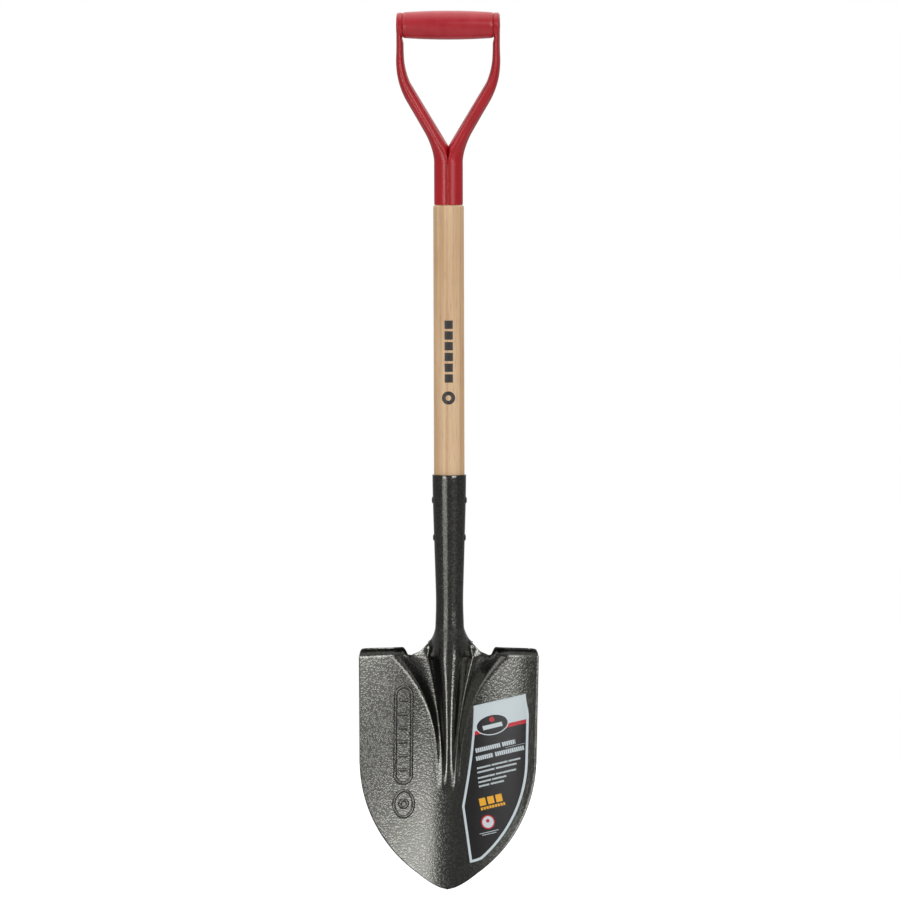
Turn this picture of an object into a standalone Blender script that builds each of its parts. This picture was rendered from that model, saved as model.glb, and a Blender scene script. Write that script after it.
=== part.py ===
"""D-handle round-point shovel, as nine separate pieces.

Metres, +Z up. Heights below are measured up the handle from a level 3 mm under the blade's point.
The handle's axis is x = 0, y = 0, and the digging face looks towards -Y. An empty then carries every
piece down, so that the origin is on the underside of the grip, where the shovel hangs.
"""

import math

import bmesh
import bpy
from mathutils import Matrix, Vector

MM = 0.001
GAP = 0.3 * MM

# ---- blade sheet ----
STEEL = 1.9 * MM
TIP_ARC_RADIUS = 172 * MM
TIP_ARC_CENTRE = (-62.6 * MM, 163 * MM)
SIDE_FLARE = 0.0154
TIP_HEIGHT = TIP_ARC_CENTRE[1] - math.sqrt(TIP_ARC_RADIUS**2 - TIP_ARC_CENTRE[0] ** 2)
BLUNT_HEIGHT = 20 * MM
BLUNT_POWER = 0.65
LEAN_TOP = 290 * MM
LEAN_SLOPE = 0.20
LEAN_CURVE = 0.20
DISH_DEPTH = 24 * MM
DISH_HALF_WIDTH = 110 * MM

# ---- frog: the ridge that carries the socket into the blade, and the valleys beside it ----
FROG_TOP = 284.5 * MM
FROG_FOOT = 122 * MM
RIDGE_HEIGHT = 16.2 * MM
VALLEY_DEPTH = 13 * MM
# half widths of the strip that closes into the socket, and of the frog's shoulders outside it
STRIP_NARROW = 14 * MM
STRIP_WIDE = 50 * MM
STRIP_POWER = 2.2
SHOULDER_WIDE = 66 * MM
SHOULDER_POWER = 3.0
VALLEY_SHARE = 0.58
NECK_TOP = 325 * MM
NECK_EASE = 0.12
# how far the strip's edge is trimmed back between the notch and the neck
EDGE_TRIM = 0.32
EDGE_TRIM_RISE = 5 * MM
EDGE_TRIM_FALL = (294 * MM, 320 * MM)

# ---- foot steps, turned forward off the blade's top edge ----
NOTCH_HEIGHT = 288.7 * MM
STEP_BEND_START = 288.8 * MM
STEP_BEND_RADIUS = 7.5 * MM
STEP_FLAT = 6 * MM
STEP_INNER = (49.5 * MM, 60 * MM)
STEP_CORNER = (14 * MM, 24 * MM)
STEP_CORNER_DROP = 6 * MM

# ---- socket: outside diameter at each height ----
SOCKET_TOP = 513 * MM
SOCKET_OUTSIDE = ((315, 36.2), (350, 33.7), (365, 33.9), (478, 40.9), (513, 42.0))
SEAM_HALF_ANGLE = math.radians(2.6)
SOCKET_RIVETS = {"socket_rivet_upper": 481.5 * MM, "socket_rivet_lower": 435 * MM}
RIVET_SHANK_RADIUS = 2.8 * MM
RIVET_HEAD_RADIUS = 4.1 * MM
RIVET_HEAD_HEIGHT = 1.1 * MM

# ---- shaft ----
SHAFT_RADIUS = 19 * MM
SHAFT_FOOT = 345 * MM
SHAFT_SHOULDER = 848 * MM
SHAFT_EDGE_RADIUS = 3 * MM

# ---- ferrule and yoke ----
FERRULE_RADIUS = 17.85 * MM
FERRULE_WALL = 1.5 * MM
FERRULE_FOOT = 848 * MM + GAP
FERRULE_TOP = 906 * MM
TENON_TOP = 900 * MM
SEAM_WIDTH = 0.9 * MM
YOKE_RIVET_HEIGHT = 876 * MM
YOKE_RIVET_RADIUS = 3.2 * MM
ARM_START = (9 * MM, 896 * MM)
ARM_LOWER_BEND = 85 * MM
ARM_UPPER_BEND = 100 * MM
ARM_ANGLE = math.radians(31)
ARM_TOP_X = 59.75 * MM
ARM_TOP = 1070 * MM
CROTCH_HEIGHT = 921 * MM
ROUNDING_HEIGHT = 37 * MM
# height, half thickness across the arm, half depth front to back
ARM_SECTIONS = (
    (896, 9.0, 17.75),
    (922, 9.0, 17.0),
    (940, 8.2, 15.0),
    (965, 7.6, 13.5),
    (980, 7.5, 12.8),
    (1002, 6.5, 12.2),
    (1020, 5.4, 12.0),
    (1040, 4.45, 12.0),
    (1075, 4.5, 12.0),
)

# ---- grip ----
GRIP_HEIGHT = 1070.5 * MM
GRIP_RADIUS = 18 * MM
GRIP_END_RADIUS = 16 * MM
GRIP_HALF_LENGTH = 56 * MM
EAR_INSIDE = 56.5 * MM
EAR_OUTSIDE = 64.1 * MM
EAR_RADIUS = 15.6 * MM
EAR_RIM = 1.6 * MM
ROD_RADIUS = 4 * MM
ROD_HEAD_RADIUS = 6 * MM
ROD_END = 64.6 * MM
ROD_RECESS = 1.2 * MM
HANG_HEIGHT = GRIP_HEIGHT - GRIP_RADIUS

# ---- label on the right wing ----
LABEL_THICKNESS = 0.25 * MM
LABEL_TOP = ((30.4 * MM, 226.3 * MM), (96.1 * MM, 242.2 * MM))
LABEL_ELBOW = (17.1 * MM, 103.4 * MM)
LABEL_POINT = (27.9 * MM, 34.8 * MM)
LABEL_MARGIN = 10 * MM
LABEL_CORNER_SHARE = 0.86
LABEL_LEAST_WIDTH = 0.8 * MM

# ---- mesh density ----
TUBE_COLUMNS = 12
VALLEY_COLUMN = 7
WING_COLUMNS = 7
FIRST_ROW = 5 * MM
BLADE_ROWS = 16
BEND_ROWS = 5
NECK_ROWS = 8
SOCKET_ROWS = (355 * MM, 385 * MM, 420 * MM, 450 * MM, 478 * MM, SOCKET_TOP)
LABEL_ROWS = 12
LABEL_COLUMNS = 6
ARM_SEGMENTS = 16
ROUND = 24


def smooth_step(value):
    """0 below 0, 1 above 1, and an even S between."""
    value = min(max(value, 0.0), 1.0)
    return value * value * (3 - 2 * value)


def read_stations(stations, height, column=1):
    """Straight-line reading of a list of (height, value...) stations given in millimetres."""
    height = height / MM
    for low, high in zip(stations, stations[1:]):
        if height <= high[0] or high is stations[-1]:
            share = min(max((height - low[0]) / (high[0] - low[0]), 0.0), 1.0)
            return (low[column] + (high[column] - low[column]) * share) * MM


# ---------------------------------------------------------------- the blade's surface


def blade_half_width(height):
    """Outline of the blade: a blunted point, an arc up to the sides, then a slight flare."""
    centre_x, centre_z = TIP_ARC_CENTRE
    above_tip = height - TIP_HEIGHT
    if above_tip < BLUNT_HEIGHT:
        arc_width = blade_half_width(TIP_HEIGHT + BLUNT_HEIGHT)
        return arc_width * max(0.0, above_tip / BLUNT_HEIGHT) ** BLUNT_POWER
    if height >= centre_z:
        return centre_x + TIP_ARC_RADIUS + (height - centre_z) * SIDE_FLARE
    return centre_x + math.sqrt(TIP_ARC_RADIUS**2 - (height - centre_z) ** 2)


def lean(height):
    """Forward lean of the blade's middle line, a little stronger towards the point."""
    drop = LEAN_TOP - height
    return -(LEAN_SLOPE * drop + LEAN_CURVE * max(drop, 0.0) ** 2)


def wing_y(x, height):
    """The dished wing, at any place outside the frog."""
    return lean(height) - DISH_DEPTH * (x / DISH_HALF_WIDTH) ** 2


def frog_share(height, power):
    """How much of the frog is left at this height: 1 at its top, 0 at its foot."""
    share = max(0.0, (height - FROG_FOOT) / (FROG_TOP - FROG_FOOT))
    return share**power


def strip_x(height):
    """Half width of the middle strip of the sheet, the part that closes into the socket."""
    if height > FROG_FOOT:
        spread = min(1.0, frog_share(height, STRIP_POWER))
        return STRIP_NARROW + (STRIP_WIDE - STRIP_NARROW) * spread
    return STRIP_NARROW * blade_half_width(height) / blade_half_width(FROG_FOOT)


def frog_rise(x, height):
    """How far the frog moves the sheet back from the plain wing; the ridge stands forward."""
    valley = VALLEY_SHARE * strip_x(height)
    ridge_height = RIDGE_HEIGHT * frog_share(height, 1.2)
    valley_depth = VALLEY_DEPTH * frog_share(height, 1.3)
    if x <= valley:
        return -ridge_height + (ridge_height + valley_depth) * smooth_step((x / valley) ** 1.5)
    shoulder = STRIP_NARROW + (SHOULDER_WIDE - STRIP_NARROW) * frog_share(height, SHOULDER_POWER)
    part = min(1.0, (x - valley) / (shoulder - valley))
    return valley_depth * (1 - part**1.6)


def sheet_point(x, height):
    """Point of the blade below the neck: the wing with the frog pressed into it."""
    return Vector((x, wing_y(x, height) + frog_rise(x, height), height))


def frog_point(share, height):
    """Point of the open strip, from the frog's crest (share 0) to the strip's edge (share 1)."""
    valley_share = VALLEY_COLUMN / TUBE_COLUMNS
    edge = strip_x(height)
    valley = VALLEY_SHARE * edge
    if share <= valley_share:
        return sheet_point(valley * share / valley_share, height)
    part = (share - valley_share) / (1 - valley_share)
    return sheet_point(valley + (edge - valley) * part, height)


def socket_point(share, height):
    """Point of the rolled socket section, from its front (share 0) to its back seam (share 1)."""
    radius = read_stations(SOCKET_OUTSIDE, height) / 2 - STEEL / 2
    angle = share * (math.pi - SEAM_HALF_ANGLE)
    return Vector((radius * math.sin(angle), -radius * math.cos(angle), height))


def neck_blend(height):
    """0 where the section is the open frog, 1 where it is the closed socket, eased at both ends."""
    share = min(max((height - FROG_TOP) / (NECK_TOP - FROG_TOP), 0.0), 1.0)
    if share < NECK_EASE:
        value = share * share / (2 * NECK_EASE)
    elif share > 1 - NECK_EASE:
        value = 1 - NECK_EASE - (1 - share) ** 2 / (2 * NECK_EASE)
    else:
        value = share - NECK_EASE / 2
    return value / (1 - NECK_EASE)


def trimmed_share(share, height):
    """The strip's share at this height, pulled in where its edge is trimmed above the notch."""
    valley_share = VALLEY_COLUMN / TUBE_COLUMNS
    fall_start, fall_end = EDGE_TRIM_FALL
    trim = EDGE_TRIM * smooth_step((height - NOTCH_HEIGHT) / EDGE_TRIM_RISE)
    trim *= 1 - smooth_step((height - fall_start) / (fall_end - fall_start))
    return share - trim * max(0.0, share - valley_share)


def core_point(share, height):
    """Point of the middle strip of the sheet, which runs from the tip to the socket's mouth."""
    share = trimmed_share(share, height)
    blend = neck_blend(height)
    if blend <= 0:
        return frog_point(share, height)
    if blend >= 1:
        return socket_point(share, height)
    return frog_point(share, height).lerp(socket_point(share, height), blend)


def step_share(x):
    """How far the foot step has formed: 0 at the notch, 1 along the step."""
    inner, outer = STEP_INNER
    return smooth_step((x - inner) / (outer - inner))


def wing_point(share, row_height):
    """Point of the wing below the step's bend. Rows rise towards the outside near the top."""
    inner = strip_x(row_height)
    climb = (STEP_BEND_START - FROG_TOP) * (row_height / FROG_TOP) ** 6
    outer_height = row_height + climb
    x = inner + (blade_half_width(outer_height) - inner) * share
    height = row_height + climb * step_share(x)
    if row_height < FROG_FOOT:
        height = row_height
    return sheet_point(x, height)


def step_point(share, along):
    """Point of the bend and the flat of the foot step; along runs from 0 to 1 at the lip."""
    base = wing_point(share, FROG_TOP)
    bend_length = STEP_BEND_RADIUS * math.pi / 2
    length = along * (bend_length + STEP_FLAT)
    up = Vector((0, LEAN_SLOPE, 1)).normalized()
    forward = Vector((0, -1, LEAN_SLOPE)).normalized()
    turn = min(length / STEP_BEND_RADIUS, math.pi / 2)
    flat = max(0.0, length - bend_length)
    bent = (
        up * STEP_BEND_RADIUS * math.sin(turn)
        + forward * (STEP_BEND_RADIUS * (1 - math.cos(turn)) + flat)
    )
    plain = Vector((0, 0, along * (NOTCH_HEIGHT - FROG_TOP)))
    reach_x, reach_z = STEP_CORNER
    past = min(1.0, (length + STEP_CORNER_DROP) / reach_z)
    trim = reach_x * (1 - math.sqrt(1 - past**2)) * share
    point = base + plain.lerp(bent, step_share(base.x))
    point.x -= trim * step_share(base.x)
    return point


# ---------------------------------------------------------------- making objects


def clear_scene():
    for item in list(bpy.data.objects):
        bpy.data.objects.remove(item, do_unlink=True)


def make_material(name, colour, roughness, metallic=0.0):
    material = bpy.data.materials.new(name)
    material.use_nodes = True
    shader = material.node_tree.nodes["Principled BSDF"]
    shader.inputs["Base Color"].default_value = (*colour, 1.0)
    shader.inputs["Roughness"].default_value = roughness
    shader.inputs["Metallic"].default_value = metallic
    material.diffuse_color = (*colour, 1.0)
    return material


def finish_mesh(name, build, material=None, sharp_angle=40):
    """Turn a bmesh into a linked, smooth-shaded object whose faces look outwards."""
    bmesh.ops.recalc_face_normals(build, faces=build.faces)
    mesh = bpy.data.meshes.new(name)
    build.to_mesh(mesh)
    build.free()
    mesh.shade_smooth()
    mesh.set_sharp_from_angle(angle=math.radians(sharp_angle))
    item = bpy.data.objects.new(name, mesh)
    if material:
        mesh.materials.append(material)
    bpy.context.collection.objects.link(item)
    return item


def turned(name, profile, material=None, segments=ROUND, axis="Z"):
    """Solid of revolution. The profile holds (radius, height) pairs from one end to the other."""
    build = bmesh.new()
    rings = []
    for radius, height in profile:
        ring = [
            build.verts.new(
                (
                    radius * math.sin(2 * math.pi * step / segments),
                    -radius * math.cos(2 * math.pi * step / segments),
                    height,
                )
            )
            for step in range(segments)
        ]
        rings.append(ring)
    for low, high in zip(rings, rings[1:]):
        for step in range(segments):
            after = (step + 1) % segments
            build.faces.new((low[step], low[after], high[after], high[step]))
    build.faces.new(rings[0])
    build.faces.new(rings[-1])
    if axis == "X":
        turn = Matrix.Rotation(math.radians(90), 4, "Y")
        bmesh.ops.transform(build, matrix=turn, verts=build.verts)
    return finish_mesh(name, build, material)


def as_cutter(item):
    item.hide_render = True
    item.display_type = "WIRE"
    return item


def boolean(item, other, operation="DIFFERENCE"):
    modifier = item.modifiers.new(operation.lower(), "BOOLEAN")
    modifier.operation = operation
    modifier.solver = "EXACT"
    modifier.object = as_cutter(other)


def cross_hole(item, height, radius, half_length=40 * MM):
    """Cut a round hole along X through the piece."""
    cutter = turned(
        f"{item.name}_hole_{round(height / MM)}",
        ((radius, -half_length), (radius, half_length)),
        segments=16,
        axis="X",
    )
    cutter.location.z = height
    boolean(item, cutter)


# ---------------------------------------------------------------- pieces


def blade_rows():
    """Row heights of the middle strip, and how many of them the wings share."""
    below = [TIP_HEIGHT + FIRST_ROW] + [
        TIP_HEIGHT + (FROG_TOP - TIP_HEIGHT) * (step + 1) / BLADE_ROWS for step in range(BLADE_ROWS)
    ]
    bend = [
        FROG_TOP + (NOTCH_HEIGHT - FROG_TOP) * (step + 1) / BEND_ROWS for step in range(BEND_ROWS)
    ]
    neck = [
        NOTCH_HEIGHT + (NECK_TOP - NOTCH_HEIGHT) * (step + 1) / NECK_ROWS for step in range(NECK_ROWS)
    ]
    return below, bend, neck + list(SOCKET_ROWS)


def make_blade(material):
    """The whole stamped sheet: a grid on its middle surface, made solid on both sides."""
    build = bmesh.new()
    below, bend, above = blade_rows()
    tip = build.verts.new((0, wing_y(0, TIP_HEIGHT), TIP_HEIGHT))
    reach = TUBE_COLUMNS + WING_COLUMNS
    rows = []
    for index, height in enumerate(below + bend + above):
        row = {}
        for column in range(-reach, reach + 1):
            side = -1 if column < 0 else 1
            place = abs(column)
            if place <= TUBE_COLUMNS:
                point = core_point(place / TUBE_COLUMNS, height)
            elif index < len(below):
                point = wing_point((place - TUBE_COLUMNS) / WING_COLUMNS, height)
            elif index < len(below) + len(bend):
                along = (index - len(below) + 1) / len(bend)
                point = step_point((place - TUBE_COLUMNS) / WING_COLUMNS, along)
            else:
                continue
            row[column] = build.verts.new((side * point.x, point.y, point.z))
        rows.append(row)
    for column in range(-reach, reach):
        build.faces.new((tip, rows[0][column + 1], rows[0][column]))
    for low, high in zip(rows, rows[1:]):
        for column in range(-reach, reach):
            if column in high and column + 1 in high:
                build.faces.new(
                    (low[column], low[column + 1], high[column + 1], high[column])
                )
    blade = finish_mesh("blade", build, material)
    sheet = blade.modifiers.new("sheet", "SOLIDIFY")
    sheet.thickness = STEEL
    sheet.offset = 0.0
    sheet.use_even_offset = True
    for height in SOCKET_RIVETS.values():
        cross_hole(blade, height, RIVET_SHANK_RADIUS + GAP)
    return blade


def shaft_radius_inside(height):
    """Shaft radius where the socket holds it, clear of the sheet's facets."""
    return read_stations(SOCKET_OUTSIDE, height) / 2 - STEEL - 1.5 * GAP


def make_shaft(material):
    """Ash shaft: tapered end in the socket, full round, rounded shoulder, tenon in the ferrule."""
    tenon = FERRULE_RADIUS - FERRULE_WALL - 1.5 * GAP
    profile = [(shaft_radius_inside(SHAFT_FOOT) - 2 * MM, SHAFT_FOOT)]
    for height in (SHAFT_FOOT + 3 * MM, *SOCKET_ROWS[:-1], SOCKET_TOP - 2 * MM):
        profile.append((shaft_radius_inside(height), height))
    profile.append((SHAFT_RADIUS, SOCKET_TOP + 1 * MM))
    for step in range(4):
        angle = math.radians(30 * step)
        profile.append(
            (
                SHAFT_RADIUS - SHAFT_EDGE_RADIUS * (1 - math.cos(angle)),
                SHAFT_SHOULDER - SHAFT_EDGE_RADIUS * (1 - math.sin(angle)),
            )
        )
    profile.append((tenon, SHAFT_SHOULDER))
    profile.append((tenon, TENON_TOP - 1.5 * MM))
    profile.append((tenon - 1.5 * MM, TENON_TOP))
    shaft = turned("handle_shaft", profile, material)
    for height in SOCKET_RIVETS.values():
        cross_hole(shaft, height, RIVET_SHANK_RADIUS + GAP)
    cross_hole(shaft, YOKE_RIVET_HEIGHT, YOKE_RIVET_RADIUS + GAP)
    return shaft


def make_socket_rivet(name, height, material):
    """Solid rivet through socket and shaft, with a domed head on each side."""
    seat = read_stations(SOCKET_OUTSIDE, height + RIVET_HEAD_RADIUS) / 2 + 0.5 * GAP
    end = seat + RIVET_HEAD_HEIGHT
    half = [
        (RIVET_SHANK_RADIUS, seat),
        (RIVET_HEAD_RADIUS, seat),
        (0.85 * RIVET_HEAD_RADIUS, seat + 0.6 * RIVET_HEAD_HEIGHT),
        (0.45 * RIVET_HEAD_RADIUS, end),
    ]
    profile = [(radius, -place) for radius, place in reversed(half)] + half
    rivet = turned(name, profile, material, segments=16, axis="X")
    rivet.location.z = height
    return rivet


def make_yoke_rivet(material):
    """Flush rivet through ferrule and tenon."""
    end = FERRULE_RADIUS - 0.2 * MM
    radius = YOKE_RIVET_RADIUS
    profile = (
        (0.7 * radius, -end),
        (radius, -end + 0.5 * MM),
        (radius, end - 0.5 * MM),
        (0.7 * radius, end),
    )
    rivet = turned("yoke_rivet", profile, material, segments=16, axis="X")
    rivet.location.z = YOKE_RIVET_HEIGHT
    return rivet


def arm_line():
    """Middle line of the right arm in the XZ plane: two bends joined by a straight slope."""
    start_x, start_z = ARM_START
    points = []
    for step in range(7):
        angle = ARM_ANGLE * step / 6
        points.append(
            (
                start_x + ARM_LOWER_BEND * (1 - math.cos(angle)),
                start_z + ARM_LOWER_BEND * math.sin(angle),
                angle,
            )
        )
    low_x, low_z, _ = points[-1]
    high_x = ARM_TOP_X - ARM_UPPER_BEND * (1 - math.cos(ARM_ANGLE))
    high_z = low_z + (high_x - low_x) / math.tan(ARM_ANGLE)
    for step in range(1, 4):
        share = step / 4
        points.append(
            (low_x + (high_x - low_x) * share, low_z + (high_z - low_z) * share, ARM_ANGLE)
        )
    for step in range(7):
        angle = ARM_ANGLE * (1 - step / 6)
        points.append(
            (
                ARM_TOP_X - ARM_UPPER_BEND * (1 - math.cos(angle)),
                high_z + ARM_UPPER_BEND * (math.sin(ARM_ANGLE) - math.sin(angle)),
                angle,
            )
        )
    points.append((ARM_TOP_X, (points[-1][1] + ARM_TOP) / 2, 0.0))
    points.append((ARM_TOP_X, ARM_TOP, 0.0))
    return points


def inner_thickness(x, z, angle, half_thick):
    """Half thickness towards the other arm, filled out to the straight sides of the crotch."""
    lean_in = ARM_ANGLE - angle
    to_crotch = x * math.cos(ARM_ANGLE) - (z - CROTCH_HEIGHT) * math.sin(ARM_ANGLE)
    to_middle = x / math.cos(angle) + 0.4 * MM
    return max(half_thick, min(to_crotch / math.cos(lean_in), to_middle))


def arm_section(share, half_thick, inner_thick, half_deep, roundness):
    """Section point: a half disc where roundness is 0, an oval where it is 1."""
    angle = 2 * math.pi * share
    side = math.cos(angle)
    oval_x = (half_thick if side >= 0 else inner_thick) * side
    disc_x = half_deep * side - half_thick if side >= 0 else -inner_thick
    deep = half_deep * math.sin(angle)
    return Vector((disc_x, deep)).lerp(Vector((oval_x, deep)), roundness)


def make_arm(side):
    """One arm of the yoke, swept from half a ferrule to the flat oval at the ear."""
    build = bmesh.new()
    rings = []
    for x, z, angle in arm_line():
        half_thick = read_stations(ARM_SECTIONS, z, 1)
        half_deep = read_stations(ARM_SECTIONS, z, 2)
        inner_thick = inner_thickness(x, z, angle, half_thick)
        roundness = smooth_step((z - ARM_START[1]) / ROUNDING_HEIGHT)
        ring = []
        for step in range(ARM_SEGMENTS):
            across, deep = arm_section(
                step / ARM_SEGMENTS, half_thick, inner_thick, half_deep, roundness
            )
            ring.append(
                build.verts.new(
                    (
                        side * (x + across * math.cos(angle)),
                        deep,
                        z - across * math.sin(angle),
                    )
                )
            )
        rings.append(ring)
    for low, high in zip(rings, rings[1:]):
        for step in range(ARM_SEGMENTS):
            after = (step + 1) % ARM_SEGMENTS
            build.faces.new((low[step], low[after], high[after], high[step]))
    build.faces.new(rings[0])
    build.faces.new(rings[-1])
    return finish_mesh("yoke_arm_left" if side < 0 else "yoke_arm_right", build)


def make_ear(side):
    """Round ear with a softened outer edge and a recess for the rod's head."""
    profile = [
        (EAR_RADIUS, EAR_INSIDE),
        (EAR_RADIUS, EAR_OUTSIDE - EAR_RIM),
        (EAR_RADIUS - EAR_RIM, EAR_OUTSIDE),
    ]
    if side < 0:
        profile = [(radius, -place) for radius, place in reversed(profile)]
    ear = turned("ear_left" if side < 0 else "ear_right", profile, axis="X")
    ear.location.z = GRIP_HEIGHT
    return ear


def make_yoke(material):
    """Ferrule, two arms and two ears joined into one pressed-steel yoke."""
    yoke = turned(
        "d_yoke",
        ((FERRULE_RADIUS, FERRULE_FOOT), (FERRULE_RADIUS, FERRULE_TOP)),
        material,
        segments=32,
    )
    for side in (-1, 1):
        boolean(yoke, make_arm(side), "UNION")
        boolean(yoke, make_ear(side), "UNION")
    seat_radius = GRIP_END_RADIUS + 2 * GAP
    seat_end = GRIP_HALF_LENGTH + GAP
    seat = turned("grip_seat", ((seat_radius, -seat_end), (seat_radius, seat_end)), axis="X")
    seat.location.z = GRIP_HEIGHT
    boolean(yoke, seat)
    bore_radius = FERRULE_RADIUS - FERRULE_WALL
    bore = turned(
        "ferrule_bore",
        ((bore_radius, FERRULE_FOOT - 5 * MM), (bore_radius, TENON_TOP + 1 * MM)),
    )
    boolean(yoke, bore)
    cross_hole(yoke, YOKE_RIVET_HEIGHT, YOKE_RIVET_RADIUS + GAP)
    cross_hole(yoke, GRIP_HEIGHT, ROD_RADIUS + GAP, 80 * MM)
    for side in (-1, 1):
        depth = EAR_OUTSIDE - ROD_RECESS
        profile = [
            (ROD_HEAD_RADIUS + GAP, side * depth),
            (ROD_HEAD_RADIUS + GAP, side * (depth + 10 * MM)),
        ]
        recess = turned(f"rod_recess_{side}", sorted(profile, key=lambda pair: pair[1]), axis="X")
        recess.location.z = GRIP_HEIGHT
        boolean(yoke, recess)
    boolean(yoke, make_seam_cutter())
    return yoke


def make_seam_cutter():
    """Narrow slot where the ferrule's two edges meet at the front."""
    build = bmesh.new()
    bmesh.ops.create_cube(build, size=1.0)
    size = Vector((SEAM_WIDTH, 6 * MM, TENON_TOP - FERRULE_FOOT + 10 * MM))
    bmesh.ops.scale(build, vec=size, verts=build.verts)
    cutter = finish_mesh("ferrule_seam", build)
    cutter.location = (0, -FERRULE_RADIUS, (TENON_TOP + FERRULE_FOOT) / 2 - 6 * MM)
    return cutter


def make_grip(material):
    """Barrel-shaped crossbar, bored for the rod."""
    profile = []
    for step in range(11):
        share = step / 5 - 1
        radius = GRIP_RADIUS - (GRIP_RADIUS - GRIP_END_RADIUS) * share * share
        profile.append((radius, GRIP_HALF_LENGTH * share))
    grip = turned("grip", profile, material, axis="X")
    grip.location.z = GRIP_HEIGHT
    cross_hole(grip, GRIP_HEIGHT, ROD_RADIUS + GAP, 80 * MM)
    return grip


def make_rod(material):
    """Long rivet through both ears and the grip, with low heads in the ears' recesses."""
    seat = EAR_OUTSIDE - ROD_RECESS + GAP
    half = [
        (ROD_RADIUS, seat),
        (ROD_HEAD_RADIUS, seat),
        (ROD_HEAD_RADIUS, ROD_END - 0.7 * MM),
        (0.6 * ROD_HEAD_RADIUS, ROD_END),
    ]
    profile = [(radius, -place) for radius, place in reversed(half)] + half
    rod = turned("grip_rod", profile, material, segments=16, axis="X")
    rod.location.z = GRIP_HEIGHT
    return rod


def label_edges(share):
    """Left and right ends of the label at this share of its height, as (x, z) pairs."""
    (left_x, left_z), (right_x, right_z) = LABEL_TOP
    elbow_x, elbow_z = LABEL_ELBOW
    point_x, point_z = LABEL_POINT
    elbow_share = (elbow_z - point_z) / (left_z - point_z)
    left_height = point_z + (left_z - point_z) * share
    if share < elbow_share:
        left = point_x + (elbow_x - point_x) * share / elbow_share
    else:
        rise = (share - elbow_share) / (1 - elbow_share)
        left = elbow_x + (left_x - elbow_x) * math.sin(rise * math.pi / 2)
    right_height = point_z + (right_z - point_z) * share
    slope = (blade_half_width(right_height + MM) - blade_half_width(right_height)) / MM
    right = blade_half_width(right_height) - LABEL_MARGIN * math.sqrt(1 + slope * slope)
    corner = smooth_step((share - LABEL_CORNER_SHARE) / (1 - LABEL_CORNER_SHARE))
    right += (right_x - right) * corner
    right = max(right, left + LABEL_LEAST_WIDTH)
    return (left, left_height), (right, right_height)


def make_label(material):
    """Thin sticker that follows the wing, just clear of the paint."""
    build = bmesh.new()
    lift = STEEL / 2 + GAP + LABEL_THICKNESS / 2
    grid = []
    for row in range(LABEL_ROWS + 1):
        (left_x, left_z), (right_x, right_z) = label_edges(row / LABEL_ROWS)
        line = []
        for column in range(LABEL_COLUMNS + 1):
            share = column / LABEL_COLUMNS
            x = left_x + (right_x - left_x) * share
            z = left_z + (right_z - left_z) * share
            slope_x = -2 * DISH_DEPTH * x / DISH_HALF_WIDTH**2
            slope_z = LEAN_SLOPE + 2 * LEAN_CURVE * (LEAN_TOP - z)
            outward = Vector((slope_x, -1, slope_z)).normalized()
            line.append(build.verts.new(Vector((x, wing_y(x, z), z)) + outward * lift))
        grid.append(line)
    for low, high in zip(grid, grid[1:]):
        for column in range(LABEL_COLUMNS):
            build.faces.new((low[column], low[column + 1], high[column + 1], high[column]))
    label = finish_mesh("blade_label", build, material)
    sheet = label.modifiers.new("sheet", "SOLIDIFY")
    sheet.thickness = LABEL_THICKNESS
    sheet.offset = 0.0
    return label


def main():
    clear_scene()
    blade_paint = make_material("hammered_grey_paint", (0.045, 0.045, 0.042), 0.38, 0.6)
    ash = make_material("ash_wood", (0.60, 0.39, 0.23), 0.5)
    red_paint = make_material("red_enamel", (0.36, 0.009, 0.014), 0.25)
    grip_paint = make_material("red_painted_hardwood", (0.40, 0.022, 0.028), 0.4)
    steel = make_material("rivet_steel", (0.06, 0.06, 0.058), 0.4, 0.6)
    red_steel = make_material("red_rivet_steel", (0.36, 0.009, 0.014), 0.3)
    plain_steel = make_material("plain_rod_steel", (0.36, 0.012, 0.016), 0.3)
    paper = make_material("printed_label", (0.03, 0.028, 0.03), 0.35)

    pieces = [
        make_blade(blade_paint),
        make_shaft(ash),
        make_yoke(red_paint),
        make_yoke_rivet(red_steel),
        make_grip(grip_paint),
        make_rod(plain_steel),
        make_label(paper),
    ]
    for name, height in SOCKET_RIVETS.items():
        pieces.append(make_socket_rivet(name, height, steel))

    hang_point = bpy.data.objects.new("hang_point", None)
    bpy.context.collection.objects.link(hang_point)
    for item in list(bpy.data.objects):
        if item is not hang_point:
            item.parent = hang_point
    hang_point.location.z = -HANG_HEIGHT


main()
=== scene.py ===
"""D-handle round-point shovel, finished for close views.

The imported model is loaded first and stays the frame. Each operator below makes one piece, or one
group of like pieces, and hangs it on that frame. Heights are measured up the handle from a level
3 mm under the blade's point, and the handle's axis is x = 0, y = 0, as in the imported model.
"""

import math

import bmesh
import bpy
from bpy.props import FloatProperty, FloatVectorProperty, IntProperty, PointerProperty
from mathutils import Matrix, Vector


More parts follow.
